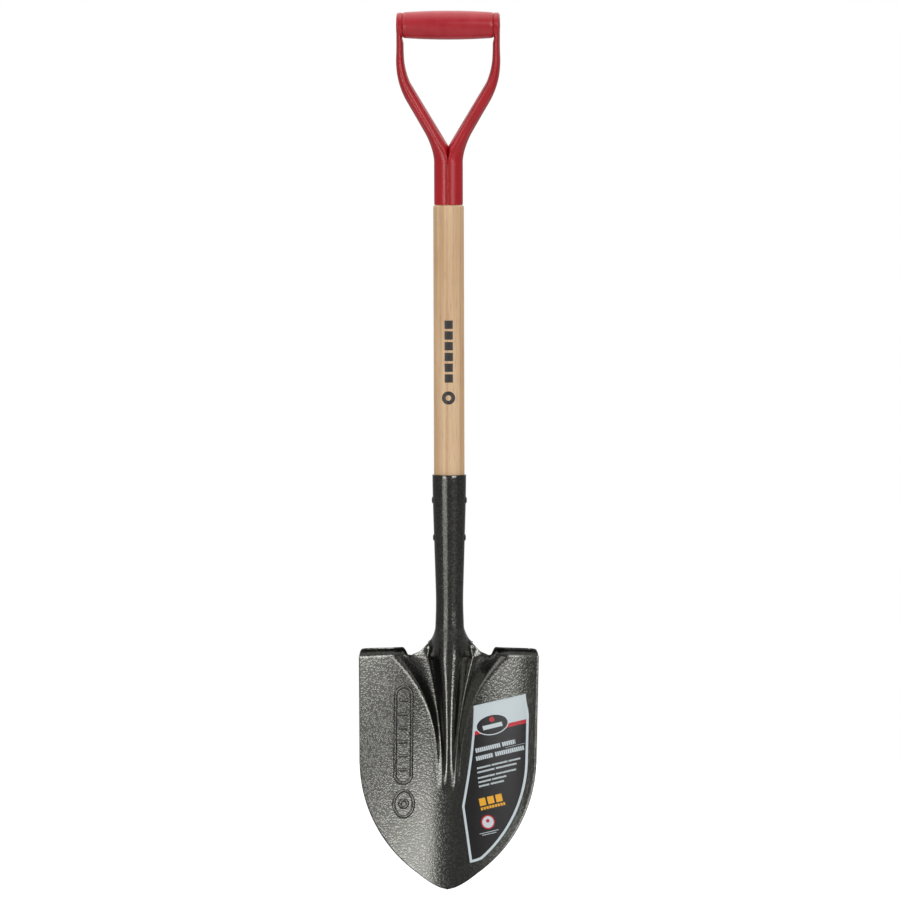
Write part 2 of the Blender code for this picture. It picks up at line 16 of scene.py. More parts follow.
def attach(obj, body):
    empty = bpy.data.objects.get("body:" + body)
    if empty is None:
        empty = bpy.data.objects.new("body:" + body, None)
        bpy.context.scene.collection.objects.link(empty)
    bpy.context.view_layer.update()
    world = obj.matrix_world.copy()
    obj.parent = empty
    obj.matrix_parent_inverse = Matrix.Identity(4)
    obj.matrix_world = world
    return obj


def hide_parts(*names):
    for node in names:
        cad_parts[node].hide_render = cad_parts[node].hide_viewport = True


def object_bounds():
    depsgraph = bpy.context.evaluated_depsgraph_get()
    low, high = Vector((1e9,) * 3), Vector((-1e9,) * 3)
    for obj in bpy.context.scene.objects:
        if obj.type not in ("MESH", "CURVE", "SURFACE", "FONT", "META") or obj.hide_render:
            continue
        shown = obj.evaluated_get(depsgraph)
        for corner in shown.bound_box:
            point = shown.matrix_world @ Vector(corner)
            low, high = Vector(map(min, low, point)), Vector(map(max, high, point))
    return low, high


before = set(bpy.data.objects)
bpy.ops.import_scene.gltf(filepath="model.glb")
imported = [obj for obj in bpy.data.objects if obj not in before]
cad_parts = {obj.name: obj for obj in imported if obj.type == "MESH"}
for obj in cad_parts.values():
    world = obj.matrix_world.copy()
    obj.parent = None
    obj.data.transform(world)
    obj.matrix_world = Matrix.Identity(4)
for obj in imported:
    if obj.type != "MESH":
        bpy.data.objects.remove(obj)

bl_info = {
    "name": "Round-point shovel",
    "version": (1, 0, 0),
    "blender": (4, 5, 0),
    "location": "View3D > Sidebar > Shovel",
    "description": "Builds the finished pieces of a D-handle shovel around its packed model",
    "category": "Object",
}

MM = 0.001
CAD_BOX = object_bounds()
BODY = "root"

# Clear space that touching pieces keep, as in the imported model.
GAP = 0.3 * MM


# ---------------------------------------------------------------- sizes and colours


def length(name, description, millimetres):
    """A length property that is written in millimetres and kept in metres."""
    return FloatProperty(
        name=name, description=description, default=millimetres * MM, unit="LENGTH", precision=5
    )


def linear(code):
    """sRGB hex code to linear red, green and blue."""
    values = [int(code[start : start + 2], 16) / 255 for start in (1, 3, 5)]
    return tuple(
        value / 12.92 if value <= 0.04045 else ((value + 0.055) / 1.055) ** 2.4 for value in values
    )


def colour(name, description, code):
    """A colour property from an sRGB hex code."""
    return FloatVectorProperty(
        name=name, description=description, default=linear(code), size=3, subtype="COLOR"
    )


class BladeSizes(bpy.types.PropertyGroup):
    """Outline, lean and dish of the stamped sheet."""

    steel: length("Sheet", "Thickness of the steel sheet", 1.9)
    arc_radius: length("Side arc", "Radius of the outline from the point to the side", 172)
    arc_x: length("Arc centre X", "Sideways place of the arc's centre", -62.6)
    arc_z: length("Arc centre Z", "Height of the arc's centre", 163)
    blunt: length("Blunt point", "Height over which the point is blunted", 20)
    lean_top: length("Lean starts", "Height from which the blade leans forward", 290)
    dish: length("Dish", "How far the sides stand forward of the middle", 24)
    dish_width: length("Dish half width", "Where the dish is measured, from the middle", 110)


class FrogSizes(bpy.types.PropertyGroup):
    """The ridge that carries the socket into the blade, and the valleys beside it."""

    top: length("Top", "Height at which the frog starts to close into the socket", 284.5)
    foot: length("Foot", "Height at which the frog has run out", 122)
    ridge: length("Ridge", "How far the ridge stands forward at its top", 16.2)
    valley: length("Valley", "How deep the valleys are at their top", 13)
    strip_narrow: length("Strip at foot", "Half width of the closing strip at the foot", 14)
    strip_wide: length("Strip at top", "Half width of the closing strip at the top", 50)
    shoulder_wide: length("Shoulder at top", "Half width over the frog's shoulders", 66)
    neck_top: length("Neck top", "Height at which the socket has closed", 325)
    trim_rise: length("Trim rise", "Height over which the strip's edge is trimmed back", 5)
    trim_fall: length("Trim end", "Height at which the edge starts to come back", 294)
    trim_end: length("Trimmed up to", "Height at which the edge is whole again", 320)


class StepSizes(bpy.types.PropertyGroup):
    """Foot steps turned forward off the blade's top edge."""

    notch: length("Notch", "Height of the notch between step and socket", 288.7)
    bend_start: length("Bend start", "Height at which the step starts to bend", 288.8)
    bend_radius: length("Bend radius", "Radius of the step's bend", 7.5)
    flat: length("Flat", "Depth of the step's flat part", 6)
    inner: length("Inner end", "Sideways place where the step starts to form", 49.5)
    full: length("Full width", "Sideways place where the step is fully formed", 60)
    corner_x: length("Corner across", "Width trimmed off the step's outer corner", 14)
    corner_z: length("Corner along", "Length over which the corner is trimmed", 24)
    corner_drop: length("Corner start", "How far below the bend the corner starts", 6)


class SocketSizes(bpy.types.PropertyGroup):
    """Rolled socket and its two rivets."""

    top: length("Top", "Height of the socket's mouth", 513)
    upper_rivet: length("Upper rivet", "Height of the upper rivet", 481.5)
    lower_rivet: length("Lower rivet", "Height of the lower rivet", 435)
    shank: length("Rivet shank", "Radius of the rivet's shank", 2.8)
    head: length("Rivet head", "Radius of the rivet's head", 4.1)
    head_height: length("Head height", "How far the head stands proud", 1.1)


class ShaftSizes(bpy.types.PropertyGroup):
    """Ash shaft."""

    radius: length("Radius", "Radius of the full round", 19)
    foot: length("Foot", "Height of the hidden lower end", 345)
    shoulder: length("Shoulder", "Height of the shoulder under the ferrule", 848)
    edge_radius: length("Edge radius", "Rounding of the shaft's edge under the ferrule", 3)
    tenon_top: length("Tenon top", "Height of the hidden upper end", 900)


class YokeSizes(bpy.types.PropertyGroup):
    """Ferrule and arms."""

    radius: length("Ferrule radius", "Outside radius of the ferrule", 17.85)
    wall: length("Wall", "Thickness of the ferrule's sheet", 1.5)
    top: length("Ferrule top", "Height at which the plain ferrule ends", 906)
    arm_foot: length("Arm foot", "Height at which the arms start to lean out", 896)
    arm_visible: length("Arm start", "Height from which the arms are made", 901)
    crotch: length("Crotch", "Height at which the arms part", 921)
    rounding: length("Rounding", "Height over which the arms become oval", 37)
    seam: length("Seam", "Width of the front seam", 0.9)
    rivet: length("Rivet height", "Height of the ferrule's rivet", 876)
    rivet_radius: length("Rivet radius", "Radius of the ferrule's rivet", 3.2)
    lower_bend: length("Lower bend", "Bend radius where the arms part", 85)
    upper_bend: length("Upper bend", "Bend radius where the arms turn upright", 100)
    arm_x: length("Arm place", "Sideways place of the upright arms", 59.75)
    fold: length("Fold line", "Depth of the line where the folded edges meet", 1.1)


class GripSizes(bpy.types.PropertyGroup):
    """Crossbar, ears and rod."""

    height: length("Height", "Height of the crossbar's axis", 1070.5)
    radius: length("Middle radius", "Radius in the middle of the crossbar", 18)
    end_radius: length("End radius", "Radius at the ears", 16)
    half_length: length("Half length", "Half the length of the crossbar", 56)
    ear_inside: length("Ear inside", "Inner face of the ear", 56.5)
    ear_outside: length("Ear outside", "Outer face of the ear", 64.1)
    ear_radius: length("Ear radius", "Radius of the ear", 15.6)
    rod: length("Rod", "Radius of the rod", 4)
    rod_head: length("Rod head", "Radius of the rod's head", 6)
    rod_end: length("Rod end", "Outermost point of the rod's head", 64.6)
    sides: IntProperty(name="Sides", description="Sides of the round crossbar", default=96)


class LabelSizes(bpy.types.PropertyGroup):
    """Sticker on the right wing."""

    thickness: length("Thickness", "Thickness of the film", 0.25)
    border: length("Border", "Width of the pale border", 3)
    margin: length("Margin", "Distance from the blade's edge", 10)
    slope: FloatProperty(
        name="Print slope",
        description="Slope of the printed rows",
        default=math.radians(14),
        subtype="ANGLE",
    )


class FinishColours(bpy.types.PropertyGroup):
    """Colours of the paints, the wood and the print."""

    hammer_light: colour("Hammered paint, light", "Tops of the hammered cells", "#656561")
    hammer_dark: colour("Hammered paint, dark", "Rims of the hammered cells", "#4D4D4A")
    enamel: colour("Enamel", "Red enamel on the yoke", "#B0131F")
    grip_red: colour("Grip paint", "Red paint on the crossbar", "#A81825")
    ash_light: colour("Ash, early wood", "Pale wood between the grain lines", "#DDBC95")
    ash_dark: colour("Ash, late wood", "Darker grain lines", "#BF9468")
    ink: colour("Ink", "Black printing ink", "#2B2725")
    film_pale: colour("Film, pale", "Pale parts of the sticker", "#C2CCD0")
    film_dark: colour("Film, dark", "Dark field of the sticker", "#1B191A")
    film_red: colour("Film, red", "Red parts of the sticker", "#B5202E")
    film_orange: colour("Film, orange", "Orange parts of the sticker", "#E0A32A")
    floor: colour("Floor", "Pale studio floor", "#8C8C8C")


class ShovelSizes(bpy.types.PropertyGroup):
    """Everything that can be changed."""

    blade: PointerProperty(type=BladeSizes)
    frog: PointerProperty(type=FrogSizes)
    step: PointerProperty(type=StepSizes)
    socket: PointerProperty(type=SocketSizes)
    shaft: PointerProperty(type=ShaftSizes)
    yoke: PointerProperty(type=YokeSizes)
    grip: PointerProperty(type=GripSizes)
    label: PointerProperty(type=LabelSizes)
    colours: PointerProperty(type=FinishColours)


def sizes():
    return bpy.context.scene.shovel


def hang_height():
    """Height of the frame's origin, the underside of the crossbar."""
    grip = sizes().grip
    return grip.height - grip.radius


# Outside diameter of the socket at each height, millimetres.
SOCKET_OUTSIDE = ((315, 36.2), (350, 33.7), (365, 33.9), (478, 40.9), (513, 42.0))

# Shape of the blade: slopes, the powers of its curves, and shares of its middle strip.
SEAM_HALF_ANGLE = math.radians(2.6)
SIDE_FLARE = 0.0154
LEAN_SLOPE = 0.20
LEAN_CURVE = 0.20
BLUNT_POWER = 0.65
STRIP_POWER = 2.2
SHOULDER_POWER = 3.0
RIDGE_POWER = 1.2
VALLEY_POWER = 1.3
RIDGE_CURVE = 1.5
SHOULDER_CURVE = 1.6
CLIMB_POWER = 6
WING_SPACING = 1.15
VALLEY_SHARE = 0.58
VALLEY_COLUMN_SHARE = 7 / 12
EDGE_TRIM = 0.32
NECK_EASE = 0.12
ARM_ANGLE = math.radians(31)

# Places along the frog's outer wall, as shares of it, over which the shoulder is averaged round.
SHOULDER_TAPS = ((-0.16, 0.1), (-0.08, 0.2), (-0.02, 0.25), (0.04, 0.2), (0.10, 0.15), (0.16, 0.1))

# Height, half thickness and half depth of the yoke's arm, millimetres.
ARM_SECTIONS = (
    (896, 9.0, 17.75),
    (922, 9.0, 17.0),
    (940, 8.2, 15.0),
    (965, 7.6, 13.5),
    (980, 7.5, 12.8),
    (1002, 6.5, 12.2),
    (1020, 5.4, 12.0),
    (1040, 4.45, 12.0),
    (1075, 4.5, 12.0),
)


# ---------------------------------------------------------------- small tools


def smooth_step(value):
    """0 below 0, 1 above 1, and an even S between."""
    value = min(max(value, 0.0), 1.0)
    return value * value * (3 - 2 * value)


def read_stations(stations, height, column=1):
    """Straight-line reading of (height, value...) stations given in millimetres."""
    height = height / MM
    for low, high in zip(stations, stations[1:]):
        if height <= high[0] or high is stations[-1]:
            share = min(max((height - low[0]) / (high[0] - low[0]), 0.0), 1.0)
            return (low[column] + (high[column] - low[column]) * share) * MM


def soft_stations(stations, height, column=1, reach=8 * MM):
    """The same reading, averaged over a short stretch so that no corner shows."""
    offsets = (-1.0, -0.5, 0.0, 0.5, 1.0)
    total = sum(read_stations(stations, height + reach * step, column) for step in offsets)
    return total / len(offsets)


def new_object(name, mesh, materials):
    """Link a mesh as an object at the origin."""
    piece = bpy.data.objects.new(name, mesh)
    for material in materials:
        mesh.materials.append(material)
    bpy.context.scene.collection.objects.link(piece)
    return piece


def mesh_piece(name, build, materials, sharp=35, down=True):
    """Turn a bmesh into a smooth-shaded object, its heights measured from the frame's origin."""
    if down:
        bmesh.ops.translate(build, verts=build.verts, vec=(0, 0, -hang_height()))
    bmesh.ops.recalc_face_normals(build, faces=build.faces)
    mesh = bpy.data.meshes.new(name)
    build.to_mesh(mesh)
    build.free()
    mesh.shade_smooth()
    mesh.set_sharp_from_angle(angle=math.radians(sharp))
    return new_object(name, mesh, materials)


def apply_modifiers(piece):
    """Replace the piece's mesh by its evaluated one and drop its modifiers."""
    graph = bpy.context.evaluated_depsgraph_get()
    graph.update()
    mesh = bpy.data.meshes.new_from_object(piece.evaluated_get(graph), depsgraph=graph)
    piece.modifiers.clear()
    piece.data = mesh
    return piece


def bridge_rings(build, rings, closed=True):
    """Faces between neighbouring rings of vertices."""
    for low, high in zip(rings, rings[1:]):
        count = len(low)
        for step in range(count if closed else count - 1):
            after = (step + 1) % count
            build.faces.new((low[step], low[after], high[after], high[step]))


def turned(build, profile, segments=96, axis="Z", centre=0.0):
    """Add a turned solid to a bmesh; the profile holds (radius, place) pairs along the axis."""
    rings = []
    for radius, place in profile:
        ring = []
        for step in range(segments):
            angle = 2 * math.pi * step / segments
            across, deep = radius * math.sin(angle), -radius * math.cos(angle)
            if axis == "X":
                ring.append(build.verts.new((place, deep, centre + across)))
            else:
                ring.append(build.verts.new((across, deep, place)))
        rings.append(ring)
    bridge_rings(build, rings)
    build.faces.new(rings[0])
    build.faces.new(rings[-1])


def keep(piece, slot, *nodes):
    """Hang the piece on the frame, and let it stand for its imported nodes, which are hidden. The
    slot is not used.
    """
    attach(piece, BODY)
    if nodes:
        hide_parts(*nodes)
    return piece


def add_node(tree, kind, links=None, **settings):
    """Add a node. links maps input names or numbers to a value, to an output, or to a node, which
    stands for its first output. A colour mix has its factor at input 0, its colours at inputs 6 and
    7, and the mixed colour at output 2."""
    node = tree.nodes.new(kind)
    for name, value in settings.items():
        setattr(node, name, value)
    for key, value in (links or {}).items():
        if isinstance(value, bpy.types.Node):
            value = value.outputs[0]
        if isinstance(value, bpy.types.NodeSocket):
            tree.links.new(value, node.inputs[key])
        else:
            node.inputs[key].default_value = value
    return node


def rgba(value):
    return (*value, 1.0)


# ---------------------------------------------------------------- finishes


def scale_for(*spans):
    """Pattern scale for features of this size in millimetres, or three scales for three sizes."""
    scales = tuple(1 / (span * MM) for span in spans)
    return scales if len(scales) > 1 else scales[0]


def new_finish(name):
    """An empty material and its tree."""
    material = bpy.data.materials.new(name)
    material.use_nodes = True
    material.node_tree.nodes.clear()
    return material, material.node_tree


def close_finish(material, surface, height, strength, depth):
    """End a finish: a surface with these inputs, with relief from a height pattern that is this
    strong and this deep in millimetres, and the output."""
    tree = material.node_tree
    bump = add_node(
        tree, "ShaderNodeBump", {"Height": height, "Strength": strength, "Distance": depth * MM}
    )
    shader = add_node(tree, "ShaderNodeBsdfPrincipled", {**surface, "Normal": bump})
    add_node(tree, "ShaderNodeOutputMaterial", {"Surface": shader})
    return material


def hammered_paint():
    """Hammered stoving paint on sheet steel: a metallic grey film that gathers into 2 to 3 mm cells,
    shiny on their tops, with darker shallow rims between them. Its grit is drawn at 1.1 mm, coarser
    than it is, so that it shows."""
    colours = sizes().colours
    material, tree = new_finish("hammered_grey_paint")
    place = add_node(tree, "ShaderNodeTexCoord").outputs["Object"]
    wander = add_node(
        tree, "ShaderNodeTexNoise", {"Vector": place, "Scale": scale_for(3.8462), "Detail": 2.0}
    )
    bent = add_node(
        tree,
        "ShaderNodeVectorMath",
        {0: wander.outputs["Color"], 1: (1.6 * MM, 1.6 * MM, 1.6 * MM)},
        operation="MULTIPLY",
    )
    spot = add_node(tree, "ShaderNodeVectorMath", {0: place, 1: bent}, operation="ADD")
    cells = add_node(
        tree,
        "ShaderNodeTexVoronoi",
        {"Vector": spot, "Scale": scale_for(2.6), "Smoothness": 0.45},
        feature="SMOOTH_F1",
    )
    rims = add_node(
        tree,
        "ShaderNodeMapRange",
        {"Value": cells, "From Min": 0.25, "From Max": 0.62},
        interpolation_type="SMOOTHSTEP",
    )
    shade = add_node(tree, "ShaderNodeMath", {0: rims, 1: 0.8}, operation="MULTIPLY")
    base = add_node(
        tree,
        "ShaderNodeMix",
        {0: shade, 6: rgba(colours.hammer_light), 7: rgba(colours.hammer_dark)},
        data_type="RGBA",
    )
    fine = add_node(
        tree, "ShaderNodeTexNoise", {"Vector": place, "Scale": scale_for(1.1111), "Detail": 3.0}
    )
    rough = add_node(tree, "ShaderNodeMapRange", {"Value": fine, "To Min": 0.14, "To Max": 0.21})
    grit = add_node(tree, "ShaderNodeMath", {0: fine, 1: 0.1}, operation="MULTIPLY")
    relief = add_node(tree, "ShaderNodeMath", {0: grit, 1: rims}, operation="SUBTRACT")
    surface = {"Base Color": base.outputs[2], "Metallic": 1.0, "Roughness": rough}
    return close_finish(material, surface, relief, strength=0.21, depth=0.16)


def enamel(name, base_colour, roughness, orange_peel):
    """Sprayed red enamel on formed steel: an even, glossy film with faint orange peel."""
    material, tree = new_finish(name)
    place = add_node(tree, "ShaderNodeTexCoord").outputs["Object"]
    peel = add_node(
        tree, "ShaderNodeTexNoise", {"Vector": place, "Scale": scale_for(2.381), "Detail": 2.0}
    )
    tone = add_node(
        tree, "ShaderNodeTexNoise", {"Vector": place, "Scale": scale_for(25), "Detail": 3.0}
    )
    share = add_node(tree, "ShaderNodeMapRange", {"Value": tone, "From Min": 0.3, "From Max": 0.7})
    deep = [value * 0.86 for value in base_colour]
    base = add_node(
        tree, "ShaderNodeMix", {0: share, 6: rgba(deep), 7: rgba(base_colour)}, data_type="RGBA"
    )
    surface = {"Base Color": base.outputs[2], "Roughness": roughness, "IOR": 1.52}
    return close_finish(material, surface, peel, strength=orange_peel, depth=0.08)


# The thicker, rougher film that the same enamel leaves on a rivet's head.
RIVET_FILM = {"roughness": 0.26, "orange_peel": 0.35}


def painted_hardwood():
    """Brushed red paint on a turned hardwood crossbar: satin, with the wood's fine grain showing
    through the film along the bar. The grain is drawn 1.9 mm wide, coarser than it is, so that it
    shows."""
    red = sizes().colours.grip_red
    material, tree = new_finish("red_painted_hardwood")
    place = add_node(tree, "ShaderNodeTexCoord").outputs["Object"]
    stretched = add_node(
        tree, "ShaderNodeMapping", {"Vector": place, "Scale": scale_for(35.714, 1.9231, 1.9231)}
    )
    grain = add_node(
        tree,
        "ShaderNodeTexNoise",
        {"Vector": stretched, "Scale": 1.0, "Detail": 4.0, "Roughness": 0.6},
    )
    worn = add_node(
        tree, "ShaderNodeTexNoise", {"Vector": place, "Scale": scale_for(18.182), "Detail": 3.0}
    )
    share = add_node(tree, "ShaderNodeMapRange", {"Value": worn, "From Min": 0.35, "From Max": 0.7})
    pale = [min(1.0, value * 1.12 + 0.012) for value in red]
    base = add_node(
        tree, "ShaderNodeMix", {0: share, 6: rgba(red), 7: rgba(pale)}, data_type="RGBA"
    )
    rough = add_node(tree, "ShaderNodeMapRange", {"Value": grain, "To Min": 0.24, "To Max": 0.38})
    surface = {"Base Color": base.outputs[2], "Roughness": rough, "IOR": 1.5}
    return close_finish(material, surface, grain, strength=0.30, depth=0.15)


def band(tree, value, middle, half_width):
    """1 where the value lies within half_width of middle."""
    away = add_node(tree, "ShaderNodeMath", {0: value, 1: middle}, operation="SUBTRACT")
    away = add_node(tree, "ShaderNodeMath", {0: away}, operation="ABSOLUTE")
    return add_node(tree, "ShaderNodeMath", {0: away, 1: half_width}, operation="LESS_THAN")


def blocks(tree, value, start, pitch, filled):
    """1 along the first, filled share of each pitch, counted from the start."""
    run = add_node(tree, "ShaderNodeMath", {0: value, 1: start}, operation="SUBTRACT")
    run = add_node(tree, "ShaderNodeMath", {0: run, 1: pitch}, operation="DIVIDE")
    run = add_node(tree, "ShaderNodeMath", {0: run}, operation="FRACT")
    return add_node(tree, "ShaderNodeMath", {0: run, 1: filled}, operation="LESS_THAN")


def oval(tree, across, up, middle, radius_x, radius_z):
    """1 inside an oval."""
    squares = []
    for value, centre, radius in ((across, middle[0], radius_x), (up, middle[1], radius_z)):
        part = add_node(tree, "ShaderNodeMath", {0: value, 1: centre}, operation="SUBTRACT")
        part = add_node(tree, "ShaderNodeMath", {0: part, 1: radius}, operation="DIVIDE")
        squares.append(add_node(tree, "ShaderNodeMath", {0: part, 1: part}, operation="MULTIPLY"))
    total = add_node(tree, "ShaderNodeMath", dict(enumerate(squares)), operation="ADD")
    return add_node(tree, "ShaderNodeMath", {0: total, 1: 1.0}, operation="LESS_THAN")


def lacquered_ash():
    """Clear-lacquered ash: pale early wood with fine darker grain lines that run along the shaft,
    short pores a few millimetres long, and a plain ink mark on the front. The pores are drawn
    0.9 mm wide, coarser than real ones, so that they show."""
    colours = sizes().colours
    material, tree = new_finish("lacquered_ash")
    place = add_node(tree, "ShaderNodeTexCoord").outputs["Object"]
    patterns, shares = [], []
    # Grain lines, cloudy tone and pores, each with its sizes in millimetres.
    for spans, detail, roughness, low, high, most, ease in (
        ((6.6667, 6.6667, 416.67), 3.0, 0.55, 0.42, 0.68, 1.0, "SMOOTHSTEP"),
        ((33.333, 33.333, 166.67), 2.0, 0.5, 0.3, 0.7, 0.35, "LINEAR"),
        ((0.90909, 0.90909, 23.81), 2.0, 0.6, 0.56, 0.74, 1.0, "LINEAR"),
    ):
        scale = scale_for(*spans)
        stretched = add_node(tree, "ShaderNodeMapping", {"Vector": place, "Scale": scale})
        pattern = add_node(
            tree,
            "ShaderNodeTexNoise",
            {"Vector": stretched, "Scale": 1.0, "Detail": detail, "Roughness": roughness},
        )
        patterns.append(pattern)
        shares.append(
            add_node(
                tree,
                "ShaderNodeMapRange",
                {"Value": pattern, "From Min": low, "From Max": high, "To Max": most},
                interpolation_type=ease,
            )
        )
    lines, cloud, pores = shares
    share = add_node(tree, "ShaderNodeMath", {0: lines, 1: 0.62}, operation="MULTIPLY")
    share = add_node(tree, "ShaderNodeMath", {0: share, 1: cloud}, operation="ADD", use_clamp=True)
    depth = add_node(tree, "ShaderNodeMath", {0: pores, 1: 0.55}, operation="MULTIPLY")
    pore_colour = [value * 0.62 for value in colours.ash_dark]
    base = rgba(colours.ash_light)
    for mask, shade in (
        (share, colours.ash_dark),
        (depth, pore_colour),
        (shaft_print(tree, place), colours.ink),
    ):
        layer = add_node(
            tree, "ShaderNodeMix", {0: mask, 6: base, 7: rgba(shade)}, data_type="RGBA"
        )
        base = layer.outputs[2]
    surface = {
        "Base Color": base,
        "Roughness": 0.46,
        "IOR": 1.5,
        "Coat Weight": 0.12,
        "Coat Roughness": 0.3,
    }
    return close_finish(material, surface, patterns[-1], strength=0.25, depth=0.1)


# Ink mark on the shaft, in millimetres: the row's lowest and highest height, its middle and half
# width sideways, the number of its blocks, and the disc's place and two radii.
INK_ROW = (628, 708)
INK_ROW_SIDE = (0.6, 5.2)
INK_BLOCKS = 6
INK_DISC = (0.2, 609)
INK_DISC_RADII = (8.2, 3.4)

# Share of each pitch that a printed block fills.
INK_FILL = 0.78
FILM_FILL = 0.76


def shaft_print(tree, place):
    """Mask of the plain ink mark: a row of blocks up the front of the shaft, with a disc below."""
    across, deep, up = add_node(tree, "ShaderNodeSeparateXYZ", {0: place}).outputs
    level = -hang_height()
    low, high = (level + height * MM for height in INK_ROW)
    row = add_node(
        tree,
        "ShaderNodeMath",
        {
            0: band(tree, up, (low + high) / 2, (high - low) / 2),
            1: blocks(tree, up, low, (high - low) / INK_BLOCKS, INK_FILL),
        },
        operation="MULTIPLY",
    )
    side = band(tree, across, *(value * MM for value in INK_ROW_SIDE))
    row = add_node(tree, "ShaderNodeMath", {0: row, 1: side}, operation="MULTIPLY")
    middle = (INK_DISC[0] * MM, level + INK_DISC[1] * MM)
    discs = [
        oval(tree, across, up, middle, radius * MM, radius * MM) for radius in INK_DISC_RADII
    ]
    ring = add_node(
        tree, "ShaderNodeMath", dict(enumerate(discs)), operation="SUBTRACT", use_clamp=True
    )
    mark = add_node(tree, "ShaderNodeMath", {0: row, 1: ring}, operation="MAXIMUM")
    front = add_node(tree, "ShaderNodeMath", {0: deep, 1: 0.0}, operation="LESS_THAN")
    return add_node(tree, "ShaderNodeMath", {0: mark, 1: front}, operation="MULTIPLY")


def rivet_steel():
    """Formed rivet head under the blade's grey paint: smoother than the sheet and slightly worn."""
    material, tree = new_finish("painted_rivet_steel")
    place = add_node(tree, "ShaderNodeTexCoord").outputs["Object"]
    marks = add_node(
        tree, "ShaderNodeTexNoise", {"Vector": place, "Scale": scale_for(1.4286), "Detail": 3.0}
    )
    base = add_node(
        tree,
        "ShaderNodeMix",
        {0: marks, 6: rgba(linear("#3E3E3B")), 7: rgba(linear("#6B6A64"))},
        data_type="RGBA",
    )
    surface = {"Base Color": base.outputs[2], "Metallic": 0.6, "Roughness": 0.36}
    return close_finish(material, surface, marks, strength=0.4, depth=0.1)


# Print on the sticker, in millimetres along and above the ribbon's left end.
# Bars: (colour, left, right, middle height, height, block pitch or 0 for a plain bar)
PRINT_ROWS = (
    ("film_red", -12, 80, 0, 4.8, 0),
    ("film_pale", -7.4, 24.5, -21.1, 5.2, 2.7),
    ("film_pale", 27.0, 43.9, -21.1, 5.2, 2.7),
    ("film_pale", 30, 55, -25.9, 0.35, 0),
    ("film_pale", -9.1, 12.8, -30.8, 5.2, 2.7),
    ("film_pale", 15.6, 53.2, -30.8, 5.2, 2.7),
    ("film_pale", -10.6, 7.0, -42.5, 2.1, 1.7),
    ("film_pale", 8.4, 28.6, -42.5, 2.1, 1.7),
    ("film_pale", 30.0, 45.5, -42.5, 2.1, 1.7),
    ("film_pale", -11.4, 11.0, -47.6, 2.1, 1.7),
    ("film_pale", 12.6, 39.1, -47.6, 2.1, 1.7),
    ("film_pale", -12.4, 9.5, -54.4, 2.1, 1.7),
    ("film_pale", 11.0, 37.0, -54.4, 2.1, 1.7),
    ("film_pale", -12.9, 3.4, -59.6, 2.1, 1.7),
    ("film_pale", 5.0, 23.0, -59.6, 2.1, 1.7),
    ("film_pale", -13.4, 0.2, -64.6, 2.1, 1.7),
    ("film_pale", 1.8, 19.0, -64.6, 2.1, 1.7),
    ("film_orange", -17.4, 13.8, -83.6, 9.2, 10.6),
    ("film_orange", -17.4, 13.8, -91.8, 3.4, 3.6),
    ("film_pale", -26, -2, -121.0, 0.9, 1.3),
    ("film_pale", -23, -5, -123.4, 0.9, 1.3),
)

# Ovals: (colour, middle, half width, half height), with the plain bar laid over the first two.
PRINT_EMBLEM = (
    ("film_pale", (20.4, 5.4), 21.0, 12.6),
    ("film_dark", (20.4, 5.4), 19.8, 11.4),
)
EMBLEM_BAR = ("film_pale", 7.9, 32.9, 3.6, 5.2, 0)
PRINT_DISCS = (
    ("film_red", (21.4, 11.6), 3.2, 3.2),
    ("film_red", (-12.4, -109.1), 8.7, 8.7),
    ("film_pale", (-12.4, -109.1), 7.1, 7.1),
    ("film_red", (-12.4, -107.6), 2.3, 2.3),
)


def printed_bar(tree, along, above, left, right, middle, height, pitch):
    """Mask of a plain bar, or of a row of blocks where there is a pitch."""
    run = band(tree, along, (left + right) / 2, (right - left) / 2)
    rise = band(tree, above, middle, height / 2)
    mask = add_node(tree, "ShaderNodeMath", {0: run, 1: rise}, operation="MULTIPLY")
    if pitch:
        filled = blocks(tree, along, float(left), pitch, FILM_FILL)
        mask = add_node(tree, "ShaderNodeMath", {0: mask, 1: filled}, operation="MULTIPLY")
    return mask


def printed_film():
    """Printed plastic film with a satin overlaminate: flat crisp colours under a thin even gloss."""
    colours = sizes().colours
    material, tree = new_finish("printed_label_film")
    flat = add_node(tree, "ShaderNodeUVMap", uv_map="print")
    split = add_node(tree, "ShaderNodeSeparateXYZ", {0: flat}).outputs
    along, above = (
        add_node(tree, "ShaderNodeMath", {0: split[axis], 1: 1 / MM}, operation="MULTIPLY")
        for axis in (0, 1)
    )
    inset = add_node(tree, "ShaderNodeAttribute", attribute_name="inset").outputs["Fac"]
    header = add_node(tree, "ShaderNodeMath", {0: above, 1: 0.0}, operation="GREATER_THAN")
    layers = [("film_pale", header)]
    layers += [(name, printed_bar(tree, along, above, *bar)) for name, *bar in PRINT_ROWS]
    layers += [(name, oval(tree, along, above, *place)) for name, *place in PRINT_EMBLEM]
    layers.append((EMBLEM_BAR[0], printed_bar(tree, along, above, *EMBLEM_BAR[1:])))
    layers += [(name, oval(tree, along, above, *place)) for name, *place in PRINT_DISCS]
    border = sizes().label.border
    edge = add_node(tree, "ShaderNodeMath", {0: inset, 1: border}, operation="LESS_THAN")
    layers.append(("film_pale", edge))
    base = rgba(colours.film_dark)
    for name, mask in layers:
        ink = rgba(getattr(colours, name))
        layer = add_node(tree, "ShaderNodeMix", {0: mask, 6: base, 7: ink}, data_type="RGBA")
        base = layer.outputs[2]
    place = add_node(tree, "ShaderNodeTexCoord").outputs["Object"]
    ripple = add_node(
        tree, "ShaderNodeTexNoise", {"Vector": place, "Scale": scale_for(11.111), "Detail": 2.0}
    )
    surface = {"Base Color": base, "Roughness": 0.2, "IOR": 1.45}
    return close_finish(material, surface, ripple, strength=0.15, depth=0.2)


# ---------------------------------------------------------------- the blade's sheet


